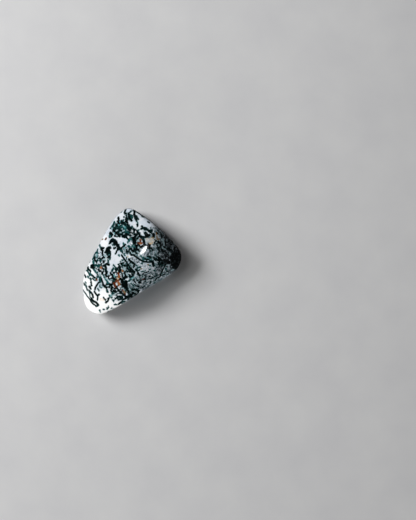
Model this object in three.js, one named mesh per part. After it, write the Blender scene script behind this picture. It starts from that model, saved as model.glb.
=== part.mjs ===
// A tumbled tree agate: one pebble of polished stone, blunt and thick at its upper right end and tapering to
// a rounded tip at its lower left. It lies on its flattest worn side.
// Millimetres, +Z up. The origin is on the resting face, below the middle of the stone seen from above.

import * as THREE from "three";
import { mergeVertices } from "three/addons/utils/BufferGeometryUtils.js";

// The outline from above: a closed smooth curve through these points (X, Y), from the top corner round by the
// blunt right end to the lower left tip and back along the left side.
const PLAN_OUTLINE = [
  [-1.4, 20.1],
  [3.6, 17.7],
  [9.3, 13.3],
  [14.6, 8.2],
  [18.0, 4.0],
  [18.6, 1.2],
  [17.2, -2.5],
  [12.6, -6.2],
  [5.0, -10.7],
  [-2.0, -15.1],
  [-9.2, -19.1],
  [-13.0, -20.0],
  [-17.2, -17.8],
  [-18.8, -11.6],
  [-17.9, -4.0],
  [-15.6, 0.8],
  [-11.8, 8.2],
  [-8.7, 13.7],
  [-5.3, 18.0],
];

// The worn faces meet around this point inside the stone.
const CORE = new THREE.Vector3(0, 0, 7.3);

// How sharply two worn faces meet: a larger power leaves a tighter edge between them. The upper faces meet the
// flanks in a tighter edge, the rim.
const EDGE_POWER = 8;
const RIM_POWER = 18;

// Faces that look up by more than this (degrees) are upper ones.
const UPPER_FACE_UP = 30;

// Each worn face: the way it looks in plan (degrees from +X towards +Y), how far it looks up from the
// horizon (degrees), and how far it lies from the core (mm).
const WORN_FACES = [
  { name: "long left side", heading: 155, up: 8, distance: 14.2 },
  { name: "lower left tip", heading: 225, up: 6, distance: 23.0 },
  { name: "long lower side", heading: 302, up: 2, distance: 13.0 },
  { name: "blunt right end", heading: 348, up: 4, distance: 17.4 },
  { name: "upper right side", heading: 46, up: 4, distance: 14.0 },
  { name: "top corner", heading: 97, up: 4, distance: 19.2 },
  { name: "broad upper left slope", heading: 146, up: 57, distance: 7.1 },
  { name: "slope down to the tip", heading: 208, up: 68, distance: 8.0 },
  { name: "upper side of the tip", heading: 238, up: 50, distance: 18.5 },
  { name: "lower right slope", heading: 316, up: 46, distance: 10.6 },
  { name: "upper right slope", heading: 44, up: 56, distance: 13.6 },
  { name: "right shoulder", heading: 14, up: 42, distance: 14.6 },
  { name: "slope to the top corner", heading: 96, up: 46, distance: 16.6 },
  { name: "crest", heading: 236, up: 81, distance: 8.9 },
  { name: "underside", heading: 235, up: -87, distance: 7.7 },
  { name: "undercut of the left side", heading: 165, up: -50, distance: 12.4 },
  { name: "undercut of the tip", heading: 228, up: -40, distance: 21.5 },
  { name: "undercut of the lower side", heading: 290, up: -50, distance: 11.8 },
  { name: "undercut of the right end", heading: 345, up: -48, distance: 15.2 },
  { name: "undercut of the upper right", heading: 40, up: -46, distance: 13.2 },
  { name: "undercut of the top corner", heading: 100, up: -45, distance: 16.8 },
];

// Long shallow swellings left by the tumbling: the height of each (mm), its waves per millimetre along
// X, Y and Z, and where it starts (radians).
const SWELLINGS = [
  { height: 0.13, waves: [0.05, 0.031, 0.02], start: 0.4 },
  { height: 0.09, waves: [-0.043, 0.062, 0.05], start: 2.1 },
  { height: 0.05, waves: [0.09, -0.05, 0.08], start: 4.0 },
];

// Half the stone's rough length, width and thickness (mm). The starting sphere takes these proportions, so
// that its triangles come out even in size.
const ROUGH_SHAPE = new THREE.Vector3(19, 20, 8.5);
const SPHERE_DETAIL = 17;

// The outline is followed in this many steps round, and the widest reach looked for in this many steps up.
const STEPS_ROUND = 720;
const STEPS_UP = 60;

// Within this distance of the middle in plan (mm), the stretch to the outline evens out to one value.
const EVEN_MIDDLE = 8;

function faceNormal({ heading, up }) {
  const plan = THREE.MathUtils.degToRad(heading);
  const rise = THREE.MathUtils.degToRad(up);
  return new THREE.Vector3(
    Math.cos(rise) * Math.cos(plan),
    Math.cos(rise) * Math.sin(plan),
    Math.sin(rise),
  );
}

const faces = WORN_FACES.map((face) => ({
  normal: faceNormal(face),
  distance: face.distance,
  upper: face.up > UPPER_FACE_UP,
}));

function swelling(point) {
  let height = 0;
  for (const swell of SWELLINGS) {
    const turns = point.dot(new THREE.Vector3(...swell.waves));
    height += swell.height * Math.sin(2 * Math.PI * turns + swell.start);
  }
  return height;
}

// How far the stone reaches from its core along a unit direction: the blended meeting of its worn faces,
// with the swellings on top.
function reach(direction) {
  let above = 0;
  let below = 0;
  for (const { normal, distance, upper } of faces) {
    const share = Math.max(0, normal.dot(direction) / distance) ** EDGE_POWER;
    above += upper ? share : 0;
    below += upper ? 0 : share;
  }
  const tighter = RIM_POWER / EDGE_POWER;
  const worn = (above ** tighter + below ** tighter) ** (-1 / RIM_POWER);
  return worn + swelling(direction.clone().multiplyScalar(worn));
}

// How far the stone reaches in plan at a heading: the widest point on the way up from under to over.
function widestReach(heading) {
  let widest = 0;
  const direction = new THREE.Vector3();
  for (let step = 1; step < STEPS_UP; step++) {
    const rise = Math.PI * (step / STEPS_UP - 0.5);
    direction.set(Math.cos(rise) * Math.cos(heading), Math.cos(rise) * Math.sin(heading), Math.sin(rise));
    widest = Math.max(widest, reach(direction) * Math.cos(rise));
  }
  return widest;
}

// For each heading in turn, the stretch in plan that brings the widest reach to the outline.
function stretchesRound() {
  const corners = PLAN_OUTLINE.map(([x, y]) => new THREE.Vector3(x - CORE.x, y - CORE.y, 0));
  const outline = new THREE.CatmullRomCurve3(corners, true, "centripetal").getSpacedPoints(STEPS_ROUND);
  const stretches = outline.map((point) => {
    const heading = Math.atan2(point.y, point.x);
    return { heading, stretch: Math.hypot(point.x, point.y) / widestReach(heading) };
  });
  return stretches.sort((one, other) => one.heading - other.heading);
}

const stretches = stretchesRound();
const middleStretch = stretches.reduce((sum, entry) => sum + entry.stretch, 0) / stretches.length;

// The stretch at a heading, between the two nearest steps.
function outlineStretch(heading) {
  const after = Math.max(0, stretches.findIndex((entry) => entry.heading >= heading));
  const next = stretches[after];
  const last = stretches[(after + stretches.length - 1) % stretches.length];
  const turn = 2 * Math.PI;
  const gap = (next.heading - last.heading + turn) % turn;
  const along = gap > 0 ? ((heading - last.heading + turn) % turn) / gap : 0;
  return THREE.MathUtils.lerp(last.stretch, next.stretch, along);
}

// The stretch at a place in plan, measured from the core.
function planStretch(x, y) {
  const outward = THREE.MathUtils.smoothstep(Math.hypot(x, y), 0, EVEN_MIDDLE);
  return THREE.MathUtils.lerp(middleStretch, outlineStretch(Math.atan2(y, x)), outward);
}

// A sphere's points are carried out to the worn faces, and what would lie below the resting face is level
// with it. The whole is then centred over the origin.
function stoneGeometry() {
  const geometry = new THREE.IcosahedronGeometry(1, SPHERE_DETAIL);
  geometry.deleteAttribute("normal");
  geometry.deleteAttribute("uv");
  const merged = mergeVertices(geometry);
  const places = merged.getAttribute("position");
  const point = new THREE.Vector3();
  const direction = new THREE.Vector3();
  for (let i = 0; i < places.count; i++) {
    direction.fromBufferAttribute(places, i).multiply(ROUGH_SHAPE).normalize();
    point.copy(direction).multiplyScalar(reach(direction));
    const stretch = planStretch(point.x, point.y);
    point.set(point.x * stretch, point.y * stretch, point.z).add(CORE);
    places.setXYZ(i, point.x, point.y, Math.max(0, point.z));
  }
  merged.computeBoundingBox();
  const middle = merged.boundingBox.getCenter(new THREE.Vector3());
  merged.translate(-middle.x, -middle.y, 0);
  merged.computeVertexNormals();
  return merged;
}

const agate = new THREE.MeshStandardMaterial({ color: 0xc9d0cc, roughness: 0.12, metalness: 0 });

const stone = new THREE.Mesh(stoneGeometry(), agate);
stone.name = "tree_agate";

const part = new THREE.Group();
part.add(stone);

export default part;
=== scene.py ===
import math

import bmesh
import bpy
from mathutils import Matrix, Vector


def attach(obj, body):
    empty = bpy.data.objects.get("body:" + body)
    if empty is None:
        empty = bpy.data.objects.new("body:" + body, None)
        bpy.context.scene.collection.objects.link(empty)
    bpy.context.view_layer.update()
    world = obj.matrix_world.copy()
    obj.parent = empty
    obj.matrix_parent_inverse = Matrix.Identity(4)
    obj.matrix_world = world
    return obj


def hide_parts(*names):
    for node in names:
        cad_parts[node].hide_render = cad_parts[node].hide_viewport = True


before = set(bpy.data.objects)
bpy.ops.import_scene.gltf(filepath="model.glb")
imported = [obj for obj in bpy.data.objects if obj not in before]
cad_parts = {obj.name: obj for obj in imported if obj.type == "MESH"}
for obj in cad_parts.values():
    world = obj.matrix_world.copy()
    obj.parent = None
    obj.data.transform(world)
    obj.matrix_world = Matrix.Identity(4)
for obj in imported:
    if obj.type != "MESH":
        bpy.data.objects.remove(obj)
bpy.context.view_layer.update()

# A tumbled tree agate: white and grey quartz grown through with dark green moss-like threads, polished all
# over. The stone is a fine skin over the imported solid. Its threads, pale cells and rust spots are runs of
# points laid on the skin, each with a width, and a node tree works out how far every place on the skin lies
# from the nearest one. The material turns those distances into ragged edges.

MM = 0.001

# Tones of a thread: how green and how deep under the polish it lies, from 0, black on the surface, to 1,
# teal.
BLACK = 0.0
GREEN = 0.45
TEAL = 0.85

# Threads of moss on the top, roughly by area. Each is a tone, a width (mm), then the points it runs through
# (X, Y in mm, seen from above), as read from the photo. Their teeth are drawn in this order.
TOP_CORNER = [
    (BLACK, 0.9, (-2.4, 19.6), (-2.6, 19.0), (-2.7, 18.3)),
    (BLACK, 0.8, (-2.5, 18.0), (-1.6, 17.4), (-0.6, 17.2), (0.0, 17.0)),
    (BLACK, 0.9, (-2.0, 17.6), (-1.6, 16.8), (-1.1, 16.2)),
    (BLACK, 0.8, (-1.9, 16.6), (-1.9, 15.9), (-1.9, 15.4), (-1.5, 14.6)),
    (BLACK, 0.8, (-1.0, 16.9), (-0.7, 16.3), (-0.2, 15.7), (0.1, 15.2)),
    (GREEN, 0.8, (-0.2, 17.2), (0.2, 16.7), (0.2, 16.2)),
    (GREEN, 0.5, (-0.7, 18.4), (-0.4, 18.7), (0.0, 18.9)),
    (BLACK, 0.8, (-1.2, 17.9), (-0.8, 17.2)),
    (BLACK, 0.8, (-1.3, 16.3), (-0.6, 16.0)),
    (BLACK, 0.7, (-2.3, 16.6), (-2.3, 15.9)),
    (BLACK, 0.8, (1.0, 19.1), (1.1, 18.5), (1.0, 17.8), (1.2, 17.0), (1.5, 16.2), (1.9, 15.4)),
    (TEAL, 0.35, (2.1, 14.9), (2.5, 14.4), (2.5, 14.1)),
    (BLACK, 0.6, (2.25, 13.9), (2.4, 13.1)),
    (BLACK, 0.5, (0.2, 19.8), (1.0, 19.3), (1.7, 18.9)),
    (BLACK, 0.75, (2.2, 18.4), (2.7, 18.1)),
    (BLACK, 0.6, (1.9, 17.0), (2.2, 16.4), (2.7, 15.7)),
    # Along the upper right rim: dark moss at the very edge, then painted shade where the rim falls away into
    # shadow.
    (BLACK, 0.35, (3.0, 17.9), (3.8, 17.2), (4.7, 16.7), (5.6, 16.1), (6.8, 15.5)),
    (TEAL, 0.3, (-4.2, 18.4), (-3.8, 18.7)),
]
UPPER_RIGHT = [
    (BLACK, 0.7, (6.4, 14.7), (6.8, 14.4)),
    (BLACK, 0.55, (4.0, 13.1), (4.3, 12.9)),
    (BLACK, 0.7, (5.0, 12.0), (5.4, 11.7)),
    (BLACK, 0.85, (3.9, 12.1), (4.8, 12.4), (5.6, 12.2), (6.2, 11.7), (6.8, 11.1), (7.2, 10.7)),
    (BLACK, 0.85, (7.4, 11.2), (7.8, 11.5), (8.1, 11.4)),
    (BLACK, 0.5, (7.4, 10.5), (7.9, 10.1)),
    (BLACK, 1.1, (8.6, 9.9), (8.6, 9.5), (8.5, 9.1)),
    (BLACK, 0.95, (5.3, 10.5), (5.8, 10.6)),
    (BLACK, 1.0, (5.8, 9.6), (6.4, 9.6), (6.9, 9.8)),
    (GREEN, 0.5, (0.2, 13.0), (0.5, 12.6)),
    (BLACK, 0.8, (-0.4, 12.7), (0.1, 12.0), (0.5, 11.5)),
    (BLACK, 0.55, (0.9, 12.4), (1.1, 11.6), (1.3, 10.9)),
    (BLACK, 0.85, (1.1, 12.1), (1.7, 11.6), (2.4, 11.2), (3.0, 10.5), (3.2, 9.8), (2.9, 9.2), (2.4, 8.6)),
    (BLACK, 0.7, (-0.6, 10.9), (0.0, 10.6)),
    (BLACK, 0.5, (0.0, 11.1), (0.6, 10.5), (1.2, 9.9), (1.9, 9.9)),
    (BLACK, 0.6, (-2.4, 9.6), (-1.8, 8.9), (-1.3, 8.4), (-0.9, 8.1)),
    (BLACK, 0.9, (-0.3, 9.6), (0.6, 9.0), (1.5, 9.2), (2.3, 9.7)),
    (BLACK, 1.5, (1.1, 8.6), (1.3, 7.8), (1.5, 7.0)),
    (BLACK, 1.1, (1.5, 7.0), (1.9, 6.2), (2.1, 5.4), (2.2, 4.7), (2.1, 4.1)),
    (BLACK, 0.5, (0.6, 8.4), (0.6, 7.6)),
    (GREEN, 0.6, (2.1, 8.7), (2.8, 8.9)),
    (BLACK, 0.8, (1.9, 8.5), (2.3, 8.3)),
    (BLACK, 0.8, (2.6, 6.1), (3.3, 5.9)),
    (GREEN, 0.5, (2.4, 11.5), (2.9, 11.1)),
    (BLACK, 0.8, (9.1, 11.1), (9.4, 10.7)),
    (BLACK, 0.7, (9.8, 10.7), (10.1, 10.3)),
    (BLACK, 0.5, (0.9, 6.8), (1.1, 6.3)),
    (BLACK, 0.9, (3.3, 9.2), (4.1, 9.0), (4.8, 8.9)),
    (BLACK, 0.85, (4.3, 8.6), (4.7, 7.9), (5.0, 7.2), (5.1, 6.6)),
    (BLACK, 0.85, (3.6, 5.5), (4.2, 5.4), (4.9, 5.8)),
    (BLACK, 0.5, (2.9, 4.3), (3.1, 4.0)),
    (TEAL, 0.5, (-0.9, 8.0), (-1.1, 7.4)),
    (TEAL, 0.4, (-0.2, 8.4), (0.2, 8.0)),
]
MAIN_CLUMP = [
    (BLACK, 0.95, (-5.2, 16.5), (-5.0, 15.6), (-5.4, 14.8)),
    (GREEN, 0.9, (-6.8, 14.8), (-6.9, 14.0)),
    (GREEN, 0.85, (-7.6, 13.2), (-7.3, 13.0)),
    (GREEN, 0.5, (-8.2, 12.5), (-8.0, 12.4)),
    (GREEN, 0.6, (-6.9, 14.0), (-7.6, 13.3)),
    (BLACK, 0.8, (-4.1, 15.1), (-3.2, 14.6)),
    (GREEN, 0.6, (-3.4, 15.4), (-3.1, 15.3)),
    (BLACK, 0.8, (-4.9, 14.4), (-4.2, 14.3), (-3.0, 14.3)),
    (BLACK, 0.7, (-2.1, 15.4), (-2.1, 14.8), (-1.6, 14.5)),
    (BLACK, 0.7, (-1.7, 15.2), (-1.4, 13.9), (-1.0, 13.0), (-0.6, 12.3)),
    (BLACK, 0.9, (-1.3, 13.6), (-1.2, 12.8), (-1.0, 12.0), (-0.7, 11.3)),
    (BLACK, 0.7, (-2.6, 13.9), (-2.0, 13.4)),
    (BLACK, 0.7, (-6.1, 13.8), (-5.8, 13.2)),
    (BLACK, 0.6, (-4.4, 13.4), (-4.3, 12.6)),
    (BLACK, 0.7, (-5.4, 13.1), (-5.8, 12.4), (-4.7, 12.3)),
    (BLACK, 0.9, (-6.8, 12.9), (-7.1, 11.8), (-6.5, 11.3)),
    (BLACK, 0.5, (-4.1, 12.2), (-3.8, 11.5)),
    (BLACK, 0.6, (-5.3, 11.5), (-4.5, 11.2)),
    (BLACK, 0.8, (-1.8, 10.1), (-1.3, 10.0)),
    (BLACK, 0.8, (-5.3, 14.7), (-4.9, 14.3)),
    (BLACK, 0.6, (-3.0, 16.7), (-2.7, 16.5)),
    (BLACK, 0.9, (-6.2, 10.6), (-5.0, 10.2), (-3.8, 9.9), (-3.1, 9.4)),
    (BLACK, 0.6, (-6.6, 9.5), (-5.4, 9.3)),
    (BLACK, 1.0, (-5.0, 9.6), (-4.3, 9.4)),
    (BLACK, 0.7, (-3.2, 9.2), (-2.4, 8.9)),
    (GREEN, 0.55, (-2.4, 10.8), (-1.8, 11.0), (-1.2, 10.8), (-0.8, 10.2)),
    (BLACK, 0.55, (-2.4, 10.8), (-2.5, 10.1), (-2.0, 9.6), (-1.2, 9.6), (-0.8, 10.1)),
    (TEAL, 0.9, (-2.3, 12.6), (-2.2, 11.8)),
    (TEAL, 0.8, (-3.4, 13.0), (-4.0, 13.1)),
    (GREEN, 0.6, (-3.0, 12.3), (-2.8, 11.9)),
    (BLACK, 1.1, (-8.2, 10.5), (-7.8, 10.3), (-7.6, 9.8)),
    (BLACK, 0.5, (-8.3, 10.9), (-8.1, 10.8)),
    (GREEN, 0.8, (-8.5, 9.5), (-8.3, 9.1)),
    (BLACK, 0.6, (-7.9, 9.6), (-7.6, 9.3)),
]
FERN = [
    (BLACK, 1.2, (-7.2, 8.2), (-7.7, 7.8), (-8.0, 7.1)),
    (BLACK, 0.7, (-8.1, 7.2), (-8.4, 6.7)),
    (BLACK, 1.1, (-7.0, 8.1), (-6.9, 7.2), (-6.5, 6.7)),
    (BLACK, 1.2, (-6.9, 8.0), (-6.2, 7.5), (-5.6, 6.7), (-5.1, 5.8), (-4.6, 5.0), (-4.0, 4.4)),
    (BLACK, 1.2, (-7.6, 7.4), (-7.0, 7.5), (-6.4, 7.1)),
    (BLACK, 0.9, (-6.8, 6.8), (-6.1, 6.4)),
    (BLACK, 0.9, (-5.6, 6.2), (-5.5, 5.6)),
    (BLACK, 0.7, (-5.1, 4.9), (-4.9, 4.3)),
    (GREEN, 0.6, (-7.1, 6.5), (-7.1, 6.0)),
    (BLACK, 0.6, (-6.1, 6.8), (-6.3, 6.2)),
    (BLACK, 0.8, (-6.0, 5.1), (-6.5, 4.8)),
    (BLACK, 0.65, (-5.0, 4.5), (-5.4, 3.7), (-5.8, 2.8)),
    (BLACK, 0.85, (-3.8, 4.7), (-3.3, 5.2), (-2.7, 5.7), (-2.2, 6.1)),
    (GREEN, 0.9, (-3.9, 4.1), (-3.3, 3.6)),
    (TEAL, 0.5, (-3.0, 6.8), (-2.9, 6.3)),
    (BLACK, 0.65, (-1.6, 4.5), (-1.65, 3.7), (-1.3, 2.9)),
    (TEAL, 0.4, (0.3, 6.2), (1.0, 5.9)),
    (GREEN, 0.65, (-1.0, 5.7), (-0.6, 5.0)),
    (BLACK, 0.7, (-0.6, 4.6), (-0.7, 4.0), (-0.6, 3.2)),
    (BLACK, 0.45, (-6.1, -7.8), (-5.8, -8.2)),
    (TEAL, 0.7, (0.3, 5.5), (0.9, 5.5), (1.5, 5.2)),
    (BLACK, 1.0, (0.0, 4.7), (0.4, 4.2), (0.9, 3.7)),
    (BLACK, 0.8, (-0.2, 3.2), (0.1, 2.6), (0.7, 2.4)),
    (BLACK, 1.0, (1.5, 4.8), (1.7, 4.0), (1.9, 3.1)),
    (BLACK, 0.6, (0.8, 3.5), (1.3, 3.6)),
    (TEAL, 0.45, (-1.3, 7.2), (-1.2, 6.8)),
    (TEAL, 0.7, (-0.7, 8.2), (-0.6, 7.7)),
    (TEAL, 0.4, (-4.8, 2.3), (-4.3, 1.9)),
    (TEAL, 0.5, (-2.6, 2.5), (-2.2, 2.1)),
    (GREEN, 0.45, (-1.8, 1.7), (-1.6, 1.3)),
]
RIGHT_HALF = [
    (BLACK, 1.2, (7.1, 6.2), (6.6, 5.8), (6.4, 5.2)),
    (BLACK, 0.7, (7.3, 5.1), (7.8, 4.7), (8.2, 4.2)),
    (BLACK, 0.6, (6.2, 1.8), (6.6, 1.8)),
    (BLACK, 0.55, (6.9, 1.8), (7.5, 1.3)),
    (TEAL, 0.5, (2.4, 2.3), (2.7, 2.1)),
    (TEAL, 0.4, (3.4, 2.5), (3.8, 2.0), (4.2, 1.5)),
    (TEAL, 0.8, (4.7, 1.3), (4.9, 0.7)),
    (BLACK, 0.5, (5.0, 1.1), (5.6, 0.8), (6.1, 0.4)),
    (BLACK, 0.55, (6.5, 1.0), (7.0, 0.5), (7.5, 0.0)),
    (BLACK, 0.7, (8.6, 1.3), (9.0, 1.1)),
    (BLACK, 0.9, (9.2, 0.6), (10.0, 0.4), (10.8, 0.0)),
    (BLACK, 0.9, (10.4, 1.4), (10.9, 0.8), (11.6, 0.3)),
    (BLACK, 0.9, (10.2, -0.9), (10.5, -1.7)),
    (BLACK, 0.8, (11.4, -0.6), (12.0, -0.9)),
    (BLACK, 0.95, (8.2, 0.0), (8.4, -0.8), (8.6, -1.7)),
    (BLACK, 0.75, (10.3, 7.3), (10.5, 6.9)),
    (BLACK, 0.7, (10.9, 6.8), (11.1, 6.0), (11.2, 5.3)),
    (BLACK, 0.65, (9.7, 6.4), (9.8, 5.9)),
    (BLACK, 0.6, (10.3, 5.3), (10.3, 4.6), (10.5, 3.9), (10.5, 3.2)),
    (BLACK, 1.0, (12.8, 7.2), (12.8, 6.6), (12.9, 6.0)),
    (BLACK, 0.6, (12.3, 5.4), (12.6, 5.1)),
    (BLACK, 0.6, (13.3, 5.0), (13.6, 4.5)),
    (BLACK, 0.7, (11.1, 10.6), (11.4, 9.9), (11.5, 9.0)),
    (BLACK, 0.6, (10.1, 11.3), (10.5, 10.8)),
    (BLACK, 0.6, (11.6, 8.6), (12.0, 8.1)),
    (BLACK, 0.6, (13.9, 7.6), (14.1, 7.2)),
    (BLACK, 0.9, (14.2, 4.7), (14.9, 4.0)),
    (BLACK, 0.7, (15.3, 7.0), (15.8, 6.4)),
    (BLACK, 0.7, (11.6, 4.4), (11.9, 3.6)),
    (BLACK, 0.6, (12.7, 3.8), (13.2, 3.2)),
    (BLACK, 0.45, (7.1, 3.9), (7.5, 3.7)),
    (BLACK, 0.45, (9.3, 4.6), (9.6, 4.9)),
    (BLACK, 0.4, (9.0, 2.4), (9.5, 2.2)),
    (BLACK, 0.5, (9.6, 1.9), (9.9, 1.6)),
    (BLACK, 0.55, (9.0, 8.0), (9.3, 7.4)),
    (GREEN, 0.75, (8.8, -3.4), (9.0, -3.8)),
    (BLACK, 0.7, (15.4, -2.4), (16.3, -2.6), (17.3, -2.1)),
    (BLACK, 0.7, (13.3, -3.8), (13.7, -3.8)),
    (GREEN, 0.6, (12.9, -2.7), (13.1, -3.3)),
    (BLACK, 0.45, (9.4, -1.6), (9.7, -2.3)),
    (GREEN, 0.5, (8.9, -0.6), (9.1, -1.2), (9.2, -1.8)),
    (GREEN, 0.6, (13.5, -5.0), (13.8, -5.0)),
    (BLACK, 0.6, (12.1, -5.0), (12.4, -5.0)),
    (TEAL, 0.5, (6.9, -3.0), (7.2, -3.0)),
    (TEAL, 0.4, (7.0, -1.6), (7.4, -1.6)),
    (GREEN, 0.55, (4.0, -0.8), (4.25, -0.8)),
    (GREEN, 0.55, (4.1, -3.9), (4.7, -3.8), (5.5, -3.5)),
    (BLACK, 0.45, (5.9, -4.0), (6.4, -4.0)),
    (GREEN, 0.5, (2.2, -2.8), (2.8, -2.4), (3.6, -2.2)),
    (BLACK, 0.75, (1.8, -3.0), (2.1, -3.3), (2.5, -3.6)),
    (BLACK, 0.7, (1.0, -1.7), (1.3, -2.0)),
    (GREEN, 0.5, (2.0, -1.4), (2.3, -1.6)),
    (BLACK, 0.9, (2.7, -4.5), (3.0, -5.0), (3.3, -5.4)),
    (BLACK, 0.5, (3.5, -6.0), (3.6, -6.3)),
    (GREEN, 0.55, (4.4, -5.2), (4.6, -5.6)),
    (BLACK, 0.45, (5.3, -5.3), (5.7, -5.7)),
    (BLACK, 0.45, (1.4, -8.6), (1.8, -9.1)),
    (BLACK, 0.5, (2.4, -7.0), (3.2, -7.1), (3.9, -7.0)),
    (BLACK, 0.55, (5.0, -6.5), (5.4, -6.9)),
    (BLACK, 0.35, (4.4, -4.8), (5.1, -4.3), (5.9, -4.2)),
    (BLACK, 0.8, (3.0, -7.7), (3.3, -8.0)),
    (BLACK, 0.5, (5.1, -7.8), (5.6, -7.8)),
    (BLACK, 0.45, (6.4, -6.0), (7.2, -5.7)),
    (BLACK, 0.45, (7.1, -8.0), (7.5, -7.6)),
    (BLACK, 0.45, (6.1, -9.3), (6.7, -9.2)),
    (BLACK, 0.65, (5.1, -9.1), (4.7, -9.5), (4.2, -9.8)),
    (GREEN, 0.5, (8.4, -8.2), (8.8, -8.1)),
    (BLACK, 0.7, (2.4, -9.3), (2.9, -9.4)),
    (BLACK, 0.8, (0.7, -10.7), (1.1, -10.8)),
    (BLACK, 1.1, (1.7, -10.7), (2.2, -10.9)),
    (BLACK, 0.7, (2.9, -11.0), (2.6, -11.8)),
    (BLACK, 1.0, (0.5, -11.8), (1.1, -12.1)),
    (BLACK, 0.9, (1.6, -12.3), (2.1, -12.5)),
    (BLACK, 1.3, (-0.5, -12.4), (-0.1, -13.1), (0.2, -13.8)),
    (BLACK, 0.5, (1.4, -7.6), (1.8, -8.1)),
    (BLACK, 0.5, (0.9, -7.0), (1.2, -7.3)),
    (GREEN, 0.5, (1.9, -6.3), (2.2, -6.6)),
    (BLACK, 0.7, (5.5, 9.0), (6.2, 8.9)),
    (BLACK, 0.45, (9.0, 6.9), (8.9, 6.3)),
    (BLACK, 0.5, (5.3, 6.2), (5.8, 5.9)),
    (GREEN, 0.55, (0.1, -8.3), (0.4, -8.6), (1.0, -9.2)),
    (BLACK, 0.5, (-0.4, -9.2), (-0.1, -9.7)),
]
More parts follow.
